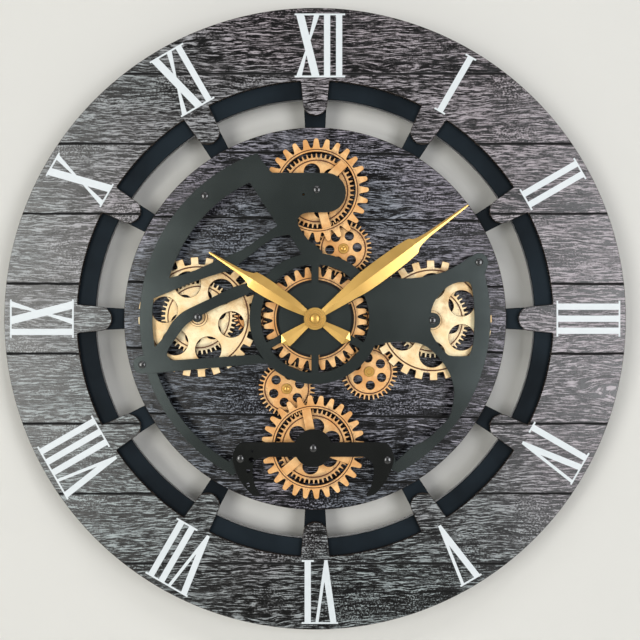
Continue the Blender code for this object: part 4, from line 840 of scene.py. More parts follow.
# %% Place the numerals
numeral_face = out_range("dial_ring")[1]
numerals = Shape()
for hour, numeral in enumerate(NUMERALS):
    angle = -hour * 360 / HOURS
    outlines = [moved(points, (NUMERAL_SHIFT * math.cos(math.radians(angle)), 0.0))
                for points in numeral_outlines(numeral)]
    edge, counters = joined([turned_by(points, angle) for points in outlines])
    numerals.sheet(edge, dial_face - 0.3 * MM, numeral_face, counters, 0.12 * MM)
numerals = dress(numerals.place("numerals"), "numeral_white", "dial_ring", stands_for=False)
print("numerals:", len(numerals.data.polygons), "faces")

# %% [markdown]
# ## The frame and the disc
#
# Behind the ring a dark board joins it to the disc by twelve short spokes, which leaves twelve
# windows where the wall shows. The disc in front carries the same print in a darker tone.

# %% Cut the frame and the disc
frame_back, frame_front = out_range("back_frame")
FRAME_RADIUS = radius_of("back_frame")
DISC_RADIUS = radius_of("centre_disc")
WINDOW_OUTER = 213 * MM
WINDOW_INNER = 178 * MM
SPOKE_ANGLE = 3.05
BUSH_HOLE = 5.3 * MM

windows = []
for hour in range(HOURS):
    start = hour * 360 / HOURS + SPOKE_ANGLE
    end = (hour + 1) * 360 / HOURS - SPOKE_ANGLE
    window = arc(WINDOW_OUTER, start, end, 24) + arc(WINDOW_INNER, end, start, 20)
    windows.append(rounded(window, 2.2 * MM, corner=40))
windows.append(circle(BUSH_HOLE, 48))
board = Shape().sheet(circle(FRAME_RADIUS, 240), frame_back, frame_front, windows, 0.5 * MM)
dress(board.place("frame_with_windows"), "frame_board", "back_frame")

disc = Shape().sheet(circle(DISC_RADIUS, 240), dial_back, dial_face, [circle(BUSH_HOLE, 48)], 0.4 * MM)
dress(disc.place("printed_disc"), "disc_print", "centre_disc")
print("frame and disc cut")

# %% [markdown]
# ## Gear teeth
#
# A gear's outline repeats one tooth, given as a few points: a share of the pitch from the
# tooth's middle, and a radius. Where two gears run together, the phase of the second is found
# from the first, so that a tooth meets a gap on the line between their middles.


# %% Teeth, phases and openings
def toothed(teeth, profile, phase=0.0):
    """A gear's outline, from one tooth's profile with its radii in millimetres."""
    return [polar(radius * MM, phase + (n + share) * (360 / teeth))
            for n in range(teeth) for share, radius in profile]


def both_sides(half):
    """A tooth's profile from its left half."""
    return [*half, *[(-share, radius) for share, radius in half[::-1]]]


def meshing_phase(near, near_teeth, near_phase, far, far_teeth):
    """The phase at which the far gear's teeth meet the near gear's gaps."""
    bearing = math.degrees(math.atan2(far[1] - near[1], far[0] - near[0]))
    share = ((bearing - near_phase) * near_teeth / 360) % 1.0
    return bearing + 180 - (0.5 - share) * 360 / far_teeth


def sector(inner, outer, start, end, half_width, steps=14):
    """The opening between two spokes of even width."""
    near = math.degrees(math.asin(half_width / inner))
    far = math.degrees(math.asin(half_width / outer))
    return arc(outer, start + far, end - far, steps) + arc(inner, end - near, start + near, steps)


def ring_of_holes(radius, reach, phase, segments=48):
    """Six round holes on a circle; the radius and the reach are in millimetres."""
    return [circle(radius * MM, segments, polar(reach * MM, phase + n * 60)) for n in range(6)]


CENTRE = (0.0, 0.0)
CENTRE_PHASE = 1.1
CENTRE_TEETH, FINE_TEETH, PINION_TEETH, IDLER_TEETH = 64, 48, 36, 21
pinion_phase = {name: meshing_phase(CENTRE, CENTRE_TEETH, CENTRE_PHASE, place, PINION_TEETH)
                for name, place in PINIONS.items()}
idler_phase = {name: meshing_phase(CENTRE, CENTRE_TEETH, CENTRE_PHASE, place, IDLER_TEETH)
               for name, place in IDLERS.items()}
small = {name: (place, PINION_TEETH, pinion_phase[name]) for name, place in PINIONS.items()}
small |= {name: (place, IDLER_TEETH, idler_phase[name]) for name, place in IDLERS.items()}
drivers = {"top": "upper_pinion", "bottom": "lower_left_pinion", "left": "left_idler", "right": "right_idler"}
fine_phase = {side: meshing_phase(*small[driver], AXLES[side], FINE_TEETH)
              for side, driver in drivers.items()}
print("phases of the fine gears:", {side: round(phase, 2) for side, phase in fine_phase.items()})

# %% [markdown]
# ## The fine gears
#
# The fine gears stand close to the disc: narrow teeth, a groove turned in the face below them,
# and six holes. The groove is made as a gap between the rim and the web, with a lower
# floor behind the gap, so that it is a real step that holds a shadow. The pinions and idlers
# are the same thing in small, and the gear behind the centre ring has no holes and is black, as painted shade
# behind the ring's teeth.

# %% Helpers for gears with a groove
GROOVE = 0.8 * MM
GROOVE_DEPTH = 0.45 * MM
GEAR_THICKNESS = 4.0 * MM
BORE_GAP = 0.3 * MM
gear_front = out_range("left_idler")[1]
gear_back = gear_front - GEAR_THICKNESS
AXLE_RADIUS = radius_of("axle_top")
BUSH_RADIUS = 5.0 * MM
POST_RADIUS = 2.5 * MM
GEAR_HUB = 12.0 * MM
SMALL_HUB = 5.6 * MM
# The radii of the grooves, in millimetres, which the finishes take too
CENTRE_GROOVE, FINE_GROOVE, PINION_GROOVE, IDLER_GROOVE, WHEEL_GROOVE = 41.0, 29.5, 21.0, 11.8, 47.9


def grooved(shape, edge, back, front, groove, holes, chamfer=0.2 * MM):
    """A sheet whose face has a round groove; its radius is in millimetres."""
    outer, rim, web, inner = [circle(groove * MM + share * GROOVE, 120) for share in (1, 0.5, -0.5, -1)]
    shape.sheet(edge, back, front, [rim], chamfer)
    shape.sheet(outer, back + GROOVE_DEPTH, front - GROOVE_DEPTH, [inner], 0.1 * MM)
    return shape.sheet(web, back, front, holes, chamfer)


def hub(shape, bore, radius, back, front):
    """A turned sleeve with a small chamfer at both ends."""
    edge = 0.3 * MM
    return shape.turned([(bore, back), (radius - edge, back), (radius, back + edge), (radius, front - edge),
                         (radius - edge, front), (bore, front)], 64)


def fine_teeth(teeth, tip, root, phase):
    """Narrow teeth between a root and a tip radius in millimetres."""
    half = [(-0.3, root), (-0.24, root + 0.25), (-0.14, tip - 0.35), (-0.1, tip)]
    return toothed(teeth, both_sides(half), phase)


def make_fine_gear(side, hole_phase, finish):
    """The fine gear on one of the four large axles."""
    node = f"{side}_fine_gear"
    bore = AXLE_RADIUS + BORE_GAP
    holes = ring_of_holes(7.7, 19.2, hole_phase) + [circle(bore, 48)]
    teeth = fine_teeth(FINE_TEETH, 36.0, 32.2, fine_phase[side])
    gear = grooved(Shape(), teeth, gear_back, gear_front, FINE_GROOVE, holes)
    hub(gear, bore, GEAR_HUB, *out_range(node))
    dress(gear.place(f"gear_{side}_fine", AXLES[side]), finish, node)


def make_small_gear(name, place, teeth, groove, holes, finish):
    """A pinion or an idler."""
    bore = POST_RADIUS + BORE_GAP
    openings = ring_of_holes(*holes, 32) + [circle(bore, 40)]
    gear = grooved(Shape(), teeth, gear_back, gear_front, groove, openings)
    hub(gear, bore, SMALL_HUB, out_range(name)[0], gear_front - 0.2 * MM)
    dress(gear.place(f"gear_{name}", place), finish, name)


print("one fine tooth has", len(fine_teeth(1, 36.0, 32.2, 0.0)), "points")

# %% [markdown]
# Each size of gear gets its own finish, because the finish paints grime and painted shade round the gear's
# groove and has to know its radius. The gears on the side axles are pale like the wheels before them.

# %% Cut the fine gears, pinions and idlers
aged_metal("copper_fine", *COPPER, 0.57, (FINE_GROOVE,))
aged_metal("copper_pinion", *COPPER, 0.56, (PINION_GROOVE,))
aged_metal("copper_idler", *COPPER, 0.62, (IDLER_GROOVE,))
aged_metal("brass_fine", *PALE_BRASS, 0.6, (FINE_GROOVE,), 0.4)
for side, hole_phase, finish in (("top", 104.5, "copper_fine"), ("bottom", 82.0, "copper_fine"),
                                 ("left", 15.0, "brass_fine"), ("right", 45.0, "brass_fine")):
    make_fine_gear(side, hole_phase, finish)
for name, hole_phase in (("upper_pinion", 5.0), ("lower_left_pinion", 20.0), ("drive_pinion", 35.0)):
    make_small_gear(name, PINIONS[name], fine_teeth(PINION_TEETH, 27.2, 22.9, pinion_phase[name]),
                    PINION_GROOVE, (4.3, 13.2, hole_phase), "copper_pinion")
for name, place in IDLERS.items():
    make_small_gear(name, place, fine_teeth(IDLER_TEETH, 16.3, 12.6, idler_phase[name]),
                    IDLER_GROOVE, (2.2, 8.8, 0.0), "copper_idler")
bush_bore = BUSH_RADIUS + BORE_GAP
centre_gear = grooved(Shape(), fine_teeth(CENTRE_TEETH, 47.6, 43.9, CENTRE_PHASE), gear_back, gear_front,
                      CENTRE_GROOVE, [circle(bush_bore, 48)])
hub(centre_gear, bush_bore, GEAR_HUB, *out_range("centre_drive_gear"))
# The gear behind the centre ring is black as painted shade, so that only dark shows between the ring's teeth
dress(centre_gear.place("gear_centre_fine"), "black_steel", "centre_drive_gear")
print("fine gears done")

# %% [markdown]
# ## The ring gears and wheels
#
# The coarse gears in front are rings on three straps that lie a little lower than the ring,
# with a fine groove near the ring's inner edge. The openings between the straps are cut as
# sectors with eased corners, so the straps keep an even width.

# %% Cut the ring gears
ring_back = out_range("top_ring_gear")[0]
ring_front = ring_back + GEAR_THICKNESS
RING_HALF = [(-0.46, 40.7), (-0.405, 41.1), (-0.35, 42.3), (-0.29, 44.4), (-0.245, 46.6), (-0.205, 48.2),
             (-0.15, 49.2), (-0.075, 49.6)]
RING_OPENING = 37.0 * MM
RING_GROOVE = (39.2, 38.7)
STRAP_HALF = 4.5 * MM
STRAP_DROP = 0.4 * MM


def rounded_all(outlines, radius):
    """The outlines with their sharp corners eased."""
    return [rounded(outline, radius, corner=40) for outline in outlines]


def make_ring_gear(side, place, phase, strap_angle, bore, hub_radius, sleeve):
    """A ring gear of 28 teeth on three straps, with its hub and sleeve."""
    node = f"{side}_ring_gear"
    teeth = toothed(28, both_sides(RING_HALF), phase)
    rim, lip = [radius * MM for radius in RING_GROOVE]
    gear = Shape().sheet(teeth, ring_back, ring_front, [circle(rim, 120)], 0.15 * MM)
    gear.sheet(circle(lip, 120), ring_back, ring_front, [circle(RING_OPENING, 120)], 0.15 * MM)
    gear.sheet(circle(rim + GROOVE, 120), ring_back + STRAP_DROP, ring_front - 0.6 * MM,
               [circle(lip - GROOVE, 120)], 0.1 * MM)
    openings = [sector(hub_radius, RING_OPENING + 0.4 * MM, start, start + 120, STRAP_HALF)
                for start in (strap_angle, strap_angle + 120, strap_angle + 240)]
    straps = rounded_all(openings, 0.8 * MM)
    gear.sheet(circle(RING_OPENING + 0.8 * MM, 120), ring_back + STRAP_DROP, ring_front - STRAP_DROP,
               straps + [circle(bore, 48)], 0.25 * MM)
    hub(gear, bore, sleeve, ring_back + 0.1 * MM, out_range(node)[1])
    gear.turned([(bore, ring_back + MM), (hub_radius - 1.4 * MM, ring_back + MM),
                 (hub_radius - 1.4 * MM, ring_front - 0.3 * MM), (hub_radius - 1.8 * MM, ring_front),
                 (bore, ring_front)], 72)
    dress(gear.place(f"gear_{side}_ring", place), "copper_ring", node)


aged_metal("copper_ring", *COPPER, 0.58, (sum(RING_GROOVE) / 2,))
axle_bore = AXLE_RADIUS + BORE_GAP
SLEEVE_WALL = 1.1 * MM
for side, phase, strap_angle in (("top", 0.74, 45.0), ("bottom", 3.69, 100.6)):
    make_ring_gear(side, AXLES[side], phase, strap_angle, axle_bore, GEAR_HUB, axle_bore + SLEEVE_WALL)
make_ring_gear("centre", CENTRE, 9.0, 30.0, bush_bore, 16.8 * MM, 9 * MM)
print("ring gears done")

# %% [markdown]
# The two pale wheels have square teeth, one groove, six large holes and a raised collar round
# the axle. They are a sheet like the other gears, and the collar is turned on top.

# %% Cut the wheels
# Where the collar drops to its inner face, in millimetres; the wheel's finish paints the step brown there, as
# grime and painted shade
COLLAR_STEP = 6.9


def make_wheel(side, phase, hole_phase):
    """A pale wheel: square teeth, a groove, six round holes and a collar round its axle."""
    node = f"{side}_wheel"
    half = [(-0.31, 50.4), (-0.275, 51.0), (-0.25, 56.7), (-0.22, 57.3)]
    teeth = toothed(24, both_sides(half), phase)
    holes = ring_of_holes(12.4, 32.5, hole_phase, 64) + [circle(axle_bore, 48)]
    wheel = grooved(Shape(), teeth, ring_back, ring_front, WHEEL_GROOVE, holes, 0.3 * MM)
    collar = ring_front + 1.2 * MM
    step = collar - 0.35 * MM
    base = ring_front - MM
    wheel.turned([(axle_bore, base), (9.2 * MM, base), (9.2 * MM, step), (8.85 * MM, collar),
                  (7.2 * MM, collar), (COLLAR_STEP * MM, step), (axle_bore, step)], 72)
    hub(wheel, axle_bore, axle_bore + SLEEVE_WALL, ring_back + 0.2 * MM, out_range(node)[1])
    dress(wheel.place(f"wheel_{side}", AXLES[side]), "brass_wheel", node)


aged_metal("brass_wheel", *PALE_BRASS, 0.47, (WHEEL_GROOVE, COLLAR_STEP), 0.4)
make_wheel("left", 3.5, -12.5)
make_wheel("right", 1.5, 30.0)
print("wheels done")

# %% [markdown]
# ## Posts, pillars and screws
#
# Small turned pieces hold the train together: brass shoulder screws for the pinions and idlers,
# dark pillars under the plates, and dark domed screws on top. A profile spun round an axis
# gives each of them, as a lathe would. The recesses are cut by Booleans, because a slot or a
# cross in a screw's head is what tells it from a rivet. The crosses are small, so that the
# dome round them still mirrors a lamp as one bright dot.


# %% Turn the small hardware
def carve(name, profile, cuts, centre=(0.0, 0.0), segments=48):
    """A turned piece with cuts, given about the piece's own axis."""
    thing = Shape().turned(profile, segments).place(name)
    for outline, back, front in cuts:
        combine(thing, block(outline, back, front), "DIFFERENCE")
    shade(thing.data)
    thing.location = (centre[0], 0.0, centre[1])
    return thing


def cross(arm, half, angle):
    """The outline of a cross recess."""
    quarter = [(arm, -half), (arm, half), (half, half)]
    return turned_by([point for n in range(4) for point in turned_by(quarter, 90 * n)], angle)


def dome(radius, back, height, rim=0.3, steps=7):
    """The profile of a low dome with an upright rim, from its edge to its top."""
    points = [(radius, back), (radius, back + rim * height)]
    for n in range(1, steps + 1):
        angle = math.radians(90 * n / steps)
        points.append((radius * math.cos(angle), back + height * (rim + (1 - rim) * math.sin(angle))))
    return points[:-1] + [(0, back + height)]


SHANK_RADIUS = 1.3 * MM
HEAD_HEIGHT = 1.6 * MM
RECESS_ARM = 1.0 * MM
RECESS_HALF = 0.25 * MM
RECESS_DEPTH = 0.6 * MM
screw_places = {f"pillar_screw_{n + 1}": place for n, place in enumerate(PILLARS)}
screw_places.update({f"axle_screw_{side}": place for side, place in AXLES.items()})
for number, (node, place) in enumerate(sorted(screw_places.items())):
    back, front = out_range(node)
    head = dome(radius_of(node), front - HEAD_HEIGHT, HEAD_HEIGHT)
    profile = [(0, back), (SHANK_RADIUS, back), (SHANK_RADIUS, front - HEAD_HEIGHT)] + head
    recess = (cross(RECESS_ARM, RECESS_HALF, 25 + 77 * number), front - RECESS_DEPTH, front + MM)
    dress(carve(node.replace("screw", "domed_screw"), profile, [recess], place), "black_steel", node)
print("domed screws:", len(screw_places))

# %% [markdown]
# The pinions and idlers turn on brass shoulder screws: a thin thread in the disc, a thicker
# shoulder as the axle, and a wide slotted head with a ring turned into it. The drive pinion is
# the exception: the motor's shaft comes through the disc and carries it, with a cap on top.

# %% Turn the brass shoulder screws
HEADS = {"upper_pinion": 5.0, "lower_left_pinion": 5.0, "left_idler": 4.0, "right_idler": 4.0}
for number, (name, width) in enumerate(HEADS.items()):
    node = f"{name}_post"
    back, front = out_range(node)
    step = out_range(name)[0]
    seat = gear_front + BORE_GAP
    rise = front - seat
    head = width * MM
    middle = 0.44 * head
    low = seat + 0.45 * rise
    profile = [(0, back), (1.5 * MM, back), (1.5 * MM, step), (POST_RADIUS, step), (POST_RADIUS, seat),
               (head, seat), (head, seat + 0.6 * rise), (0.93 * head, seat + 0.85 * rise),
               (0.62 * head, seat + 0.9 * rise), (0.56 * head, low), (middle + 0.1 * MM, low),
               (middle, seat + 0.8 * rise), (0.7 * middle, front), (0, front)]
    slot = turned_by(bar(-middle, middle, -0.3 * MM, 0.3 * MM), 35 + 50 * number)
    thing = carve(f"shoulder_screw_{name}", profile, [(slot, front - 0.4 * rise, front + MM)], axis_of(node))
    dress(thing, "brass", node)

# The drive pinion's shaft and cap turn with it
drive_back, drive_front = out_range("drive_pinion")
cap_back = gear_front - MM
SHAFT_RADIUS = 2.3 * MM
cap_profile = [(0, cap_back), (5.0 * MM, cap_back), (5.0 * MM, drive_front - 0.7 * MM),
               (4.4 * MM, drive_front - 0.3 * MM), (2.8 * MM, drive_front - 0.3 * MM),
               (2.5 * MM, drive_front - 0.9 * MM), (2.2 * MM, drive_front - 0.9 * MM),
               (2.0 * MM, drive_front), (0, drive_front)]
cap = carve("drive_hub_cap", cap_profile, [], PINIONS["drive_pinion"])
dress(cap, "brass", "drive_pinion", stands_for=False)
shaft = Shape().turned([(0, drive_back), (SHAFT_RADIUS, drive_back), (SHAFT_RADIUS, cap_back + 0.2 * MM),
                        (0, cap_back + 0.2 * MM)], 40)
shaft = shaft.place("drive_shaft", PINIONS["drive_pinion"])
dress(shaft, "steel", "drive_pinion", stands_for=False)
print("brass shoulder screws:", len(HEADS))

# %% [markdown]
# Rods carry the four large gears, and pillars hold the plates in front of them. Both are bar
# stock with a threaded hole in the end for a screw. The thin strap at the lower left rests on
# two of the pillars, and one of them has a thinner neck in front, which passes through it.

# %% Turn the rods and pillars
TAP_DEPTH = 4.8 * MM


def turned_rod(node, name, finish, place, neck=None, bore=1.5 * MM):
    """A rod with chamfered ends and, for some pillars, a thinner neck in front of a shoulder."""
    back, front = out_range(node)
    radius = radius_of(node)
    edge = 0.3 * MM
    profile = [(0, back)]
    if neck:
        stud, shoulder, thin = neck
        profile += [(stud, back), (stud, shoulder[0]), (radius, shoulder[0]), (radius, shoulder[1] - edge),
                    (radius - edge, shoulder[1]), (thin, shoulder[1])]
        radius = thin
    else:
        profile += [(radius, back)]
    profile += [(radius, front - edge), (radius - edge, front), (bore, front), (bore, front - TAP_DEPTH),
                (0, front - TAP_DEPTH)]
    thing = Shape().turned(profile, 48).place(name, place)
    return dress(thing, finish, node)


for side, place in AXLES.items():
    turned_rod(f"axle_{side}", f"rod_{side}", "steel", place)
boss_back = out_range("left_idler")[0]
strap_back, strap_front = out_range("left_strap")
STUD_RADIUS = 1.5 * MM
NECK_RADIUS = 2.6 * MM
for number, place in enumerate(PILLARS, 1):
    node = f"pillar_{number}"
    front = out_range(node)[1]
    shoulder = (strap_back if number in (2, 3) else front + MM) - BORE_GAP
    thin = NECK_RADIUS if number == 3 else radius_of(node) - 0.05 * MM
    turned_rod(node, f"standoff_{number}", "black_steel", place,
               neck=(STUD_RADIUS, (boss_back, min(shoulder, front - MM)), thin))
print("rods and pillars turned")

# %% [markdown]
# ## The front plates
#
# The dark plates are flat sheet with a fine chamfered edge. The main plate is drawn as its
# members, each in the place where it crosses the gears: the ring round the hands, the broad
# band on the left, the arm with the round lobe at the top, three bars, and the wing on the
# right with its opening. The members are joined, and every corner is eased a little, as a
# laser-cut and tumbled plate is. The band and the arm come first.

# %% Draw the band and the top arm
plate_back, plate_front = out_range("main_plate")
bridge_back, bridge_front = out_range("bottom_bridge")
PLATE_RADIUS = 166.2 * MM
BAND_INNER = 143.3 * MM
BAND_LOWER_INNER = 154.1 * MM
PLATE_RING = 62.1 * MM
PLATE_WINDOW = (34.5 * MM, 51.2 * MM)
PLATE_SPOKE = 3.45 * MM
LOBE = 8.7 * MM
SCREW_HOLE = 1.6 * MM
CORNER = 1.2 * MM
rim = PLATE_RADIUS - 4 * MM
lobe = (AXLES["top"][0] + 8.8 * MM, AXLES["top"][1] - 3.0 * MM)


def smooth_mm(*points, start=(), end=()):
    """A smooth curve through points in millimetres, between an optional first and last point."""
    return smooth([*start, *in_mm(*points), *end])


BAND_START, BAND_END = 109.1, 194.9
band = (arc(PLATE_RADIUS, BAND_START, BAND_END, 60) + arc(BAND_LOWER_INNER, BAND_END, 165.5, 20)
        + arc(BAND_INNER, 165.5, BAND_START, 40))
top_arm = [polar((BAND_INNER + PLATE_RADIUS) / 2, 116.1), polar(PLATE_RADIUS, 109.5),
           (-41.2 * MM, lobe[1] + 18.9 * MM)]
top_arm += arc(18.7 * MM, 90, -90, 40, lobe)
top_arm += smooth_mm((-5.8, 100.7), (-12.3, 99.0), (-15.6, 95.2), (-16.2, 90.4), (-14.0, 85.3), (-6.3, 74.6),
                     (0.5, 69.8), (7.3, 63.1))
top_arm += [polar(57.1 * MM, 84), polar(57.1 * MM, 100), *in_mm((-24.5, 80.2), (-35.4, 88.2)),
            polar(BAND_INNER + 3.6 * MM, 115.8)]
print("band and top arm drawn")

# %% [markdown]
# Three bars cross the left wheel. The upper two bend like branches, so each is a smooth curve
# out along one side and back along the other. The third is nearly straight and ends at a pillar.

# %% Draw the three bars
bar_a = smooth_mm((-115.8, 45.1), (-91.6, 55.8), (-67.4, 66.1), (-55.3, 74.6), (-43.3, 83.0), (-33.0, 90.5),
                  start=[polar(BAND_INNER + 2 * MM, 164.9)])
bar_a += smooth_mm((-22.5, 80.0), (-37.2, 77.0), (-49.4, 69.7), (-61.4, 60.1), (-72.3, 51.6), (-80.8, 46.2),
                   (-103.7, 38.9), (-127.9, 29.5), end=[polar(BAND_LOWER_INNER, 172.8)])
bar_a += [polar(rim, 172.8), polar(rim, 166.5)]
bar_b = smooth_mm((-60.0, 34.9), (-79.6, 29.0), (-100.8, 18.4), (-118.2, 10.2), (-127.9, 4.4), (-135.6, -3.7),
                  (-144.5, -18.7), end=[polar(BAND_LOWER_INNER, 190)])
bar_b += [polar(rim, 190), polar(rim, 194)]
bar_b += smooth_mm((-140.5, -36.0), (-139.0, -29.0), (-132.6, -19.3), (-125.0, -8.9), (-118.2, -2.7),
                   (-104.7, 4.8), (-89.2, 12.6), (-69.9, 20.4), (-57.5, 26.7))
bar_b += [polar(56.1 * MM, 155), polar(56.1 * MM, 150)]
end = PILLARS[1]
bar_c = [(end[0] + 4 * MM, end[1] + 6 * MM)]
bar_c += smooth_mm((-143.0, -31.0), (-138.5, -37.0), (-133.0, -39.2), (-108.6, -37.7), (-54.0, -33.8))
bar_c += smooth_mm((-45.0, -41.9), (-100.4, -47.0), (-147.7, -51.3))
bar_c += [(end[0] + 4 * MM, end[1] - LOBE)]
print("bars drawn")

# %% [markdown]
# The wing on the right starts at the ring, widens to a corner over one pillar, follows the
# plate's outer radius down and ends as a sickle over another. Its opening shows the right wheel.

# %% Draw the wing and its opening
wing = smooth_mm((60.5, 32.0), (68.6, 38.6), (80.1, 38.2), (94.6, 38.6), (109.1, 41.1), (123.6, 45.0),
                 (138.1, 52.7), (145.9, 58.5), start=[polar(56.1 * MM, 29)])
wing += arc(LOBE, 140, -20, 24, PILLARS[4]) + [polar(PLATE_RADIUS, 14.6)] + arc(PLATE_RADIUS, 13.0, -61.5, 56)
wing += moved(in_mm((5, -10), (-3, -5), (-2, 4)), PILLARS[3])
wing += smooth_mm((75.3, -136.7), (92.7, -121.2), (104.3, -115.4), (115.9, -105.7), (127.5, -92.2),
                  (131.7, -72.8), (130.4, -60.9), (126.6, -50.2), (118.8, -38.6), (109.1, -29.0),
                  (99.5, -23.7), (87.9, -22.2), (75.3, -22.2), (65.6, -23.2), (59.0, -25.5))
wing += [polar(56.1 * MM, 334)]
opening = smooth_mm((110.1, 7.8), (114.0, 17.4), (124.1, 29.0), (133.3, 33.8), (140.1, 34.7),
                    (146.8, 33.8), (149.8, 21.3), (151.0, 0.0), (149.8, -22.2), (146.8, -32.9),
                    (144.0, -35.2), (128.5, -35.2), (122.7, -30.9), (114.0, -20.3), (109.6, -11.6))
print("wing drawn")

# %% [markdown]
# Now the members become one plate. The ring round the hands has six windows of its own, between
# straight spokes. A boss goes back over the wing's opening, where a screw holds the right axle.

# %% Join and cut the main plate
ring_windows = [rounded(sector(*PLATE_WINDOW, 30 + 60 * n, 90 + 60 * n, PLATE_SPOKE, 16), 2.6 * MM, 6, 40)
                for n in range(6)]
members = [circle(PLATE_RING, 144), band, top_arm, bar_a, bar_b, bar_c, wing,
           circle(LOBE, 48, PILLARS[1]), circle(4.9 * MM, 40, AXLES["left"]),
           circle(LOBE - 1.2 * MM, 48, PILLARS[3])]
boss = [circle(7.1 * MM, 48, AXLES["right"]),
        moved(in_mm((-9, 6), (-9, -6), (-1, -5.2), (-1, 5.2)), AXLES["right"])]
edge, holes = joined(members, [circle(BUSH_HOLE, 48), opening], boss)
screwed = [PILLARS[0], PILLARS[1], PILLARS[3], PILLARS[4], AXLES["top"], AXLES["left"], AXLES["right"]]
holes = rounded_all(holes, CORNER) + ring_windows + [circle(SCREW_HOLE, 24, place) for place in screwed]
holes.append(circle(1.1 * MM, 24, (-11.0 * MM, 117.8 * MM)))
plate = Shape().sheet(rounded(edge, CORNER, corner=30), plate_back, plate_front, holes)
dress(plate.place("front_plate"), "plate_paint", "main_plate")

# %% [markdown]
# Behind the main plate a thin strap carries the same circle on at the lower left. It rests on
# two pillars: a screw holds it on one, and the other's neck passes through it up to the bridge.

# %% Join and cut the strap
STRAP_END = 241.9
STRAP_OUTER, STRAP_INNER = 168 * MM, 158.5 * MM
strap = (arc(STRAP_OUTER, BAND_END - 1, STRAP_END + 1, 40)
         + arc(STRAP_INNER, STRAP_END - 1, BAND_END - 1, 40))
foot_radius = math.hypot(*PILLARS[2])
link = [polar(STRAP_OUTER - MM, STRAP_END + 0.6), polar(foot_radius, STRAP_END + 2.2),
        polar(foot_radius, STRAP_END - 2.2), polar(STRAP_INNER + MM, STRAP_END - 3)]
edge, holes = joined([strap, circle(LOBE - MM, 48, PILLARS[1]), link,
                      circle(LOBE - 1.2 * MM, 48, PILLARS[2])])
neck_hole = circle(NECK_RADIUS + BORE_GAP, 32, PILLARS[2])
strap = Shape().sheet(rounded(edge, CORNER, corner=30), strap_back, strap_front,
                      [circle(SCREW_HOLE, 24, PILLARS[1]), neck_hole])
dress(strap.place("lower_strap"), "plate_paint", "left_strap")
print("strap cut, from", round(BAND_END, 1), "to", round(STRAP_END, 1), "degrees")

# %% [markdown]
# ## The bridge
#
# The bridge over the bottom gear is symmetrical: a disc in the middle, two level arms, and two
# hooks that hang like claws. One half is drawn and mirrored. Four small holes on its left are
# part of the photographed plate's pattern.

# %% Draw the bridge
BRIDGE_DISC = 18.0 * MM
ARM_TOP = 5.6 * MM
ARM_FOOT = 8.3 * MM
top = math.degrees(math.asin(ARM_TOP / BRIDGE_DISC))
foot = math.degrees(math.asin(-ARM_FOOT / BRIDGE_DISC))
half = arc(BRIDGE_DISC, 90, top, 16)
half += smooth_mm((61.7, 5.6), (69.4, 4.5), (74.2, -1.0), (76.3, -9.3), (74.2, -19.1), (70.0, -28.9),
                  (64.4, -37.2), (57.5, -44.1), (50.6, -45.3))
half += smooth_mm((50.6, -42.7), (54.8, -35.8), (56.9, -26.0), (56.9, -16.4), (53.4, -10.8), (47.8, -8.3))
half += arc(BRIDGE_DISC, foot, -90, 16)
outline = half + [(-x, z) for x, z in half[::-1][1:-1]]
outline = moved(rounded(outline, 1.6 * MM, corner=30), AXLES["bottom"])
pins = [circle(radius * MM, 24, (x * MM, z * MM)) for x, z, radius in
        ((-60.2, -133.6, 2.5), (-63.3, -144.0, 1.9), (-63.3, -157.2, 1.9), (-59.4, -125.5, 0.9))]
seats = [circle(SCREW_HOLE, 24, place) for place in (AXLES["bottom"], PILLARS[2], PILLARS[3])]
bridge = Shape().sheet(outline, bridge_back, bridge_front, pins + seats)
dress(bridge.place("lower_bridge"), "bridge_paint", "bottom_bridge")
print("bridge done")

# %% [markdown]
# ## The hands
#
# Each hand is pressed sheet with a crease along its middle, so that its two halves face
# different ways and one is always brighter. The outline comes from half widths measured along
# the hand, joined by a smooth curve, and the crease is as high as the width allows.

# %% Shape the hands
HAND_EDGE = 0.5 * MM
HAND_SLOPE = 0.145
# The crease is shallow, so it only stays sharp with a small angle
HAND_SHARP = 5.5
# Pairs in millimetres: the distance from the axis, and half the width there
MINUTE = ((9.8, 3.4), (11.9, 3.7), (29, 5.9), (43, 7.7), (56, 9.4), (70, 9.9), (84.5, 9.9), (98.5, 9.5),
          (107.9, 8.9), (114.2, 8.2), (116.2, 7.4), (117.9, 5.7), (121, 4.4), (125.8, 3.4), (133, 2.5),
          (150, 1.9), (164, 1.4), (178.0, 0.8), (178.8, 0.3))
HOUR = ((10.0, 3.3), (11, 3.5), (28.3, 6.6), (43.3, 7.7), (50.9, 8.3), (62.2, 8.5), (69.0, 8.1), (70.4, 7.4),
        (72.2, 5.6), (77.2, 4.0), (82, 2.9), (94.2, 2.1), (105.5, 1.5), (117.0, 0.8), (117.7, 0.3))
TAIL = ((7.8, 3.2), (11, 3.2), (22, 5.0), (33.2, 6.7), (34.6, 6.5), (37, 3.2), (39, 0.3))


def blade(shape, stations, back, angle):
    """A creased blade: its sections are seven points each, and its ends are closed."""
    line = smooth(in_mm(*stations), 5)
    rings = []
    for along, half in line:
        half = max(half, 0.2 * MM)
        edge = min(HAND_EDGE, 2 * half)
        section = [(half, back), (half, back + 0.7 * edge), (half - 0.12 * MM, back + edge),
                   (0.0, back + edge + HAND_SLOPE * half), (0.12 * MM - half, back + edge),
                   (-half, back + 0.7 * edge), (-half, back)]
        ring = []
        for across, out in section:
            (x, z), = turned_by([(along, across)], angle)
            ring.append(shape.bm.verts.new((x, -out, z)))
        rings.append(ring)
    shape.bridge(rings)
    shape.bm.faces.new(rings[0])
    shape.bm.faces.new(rings[-1])


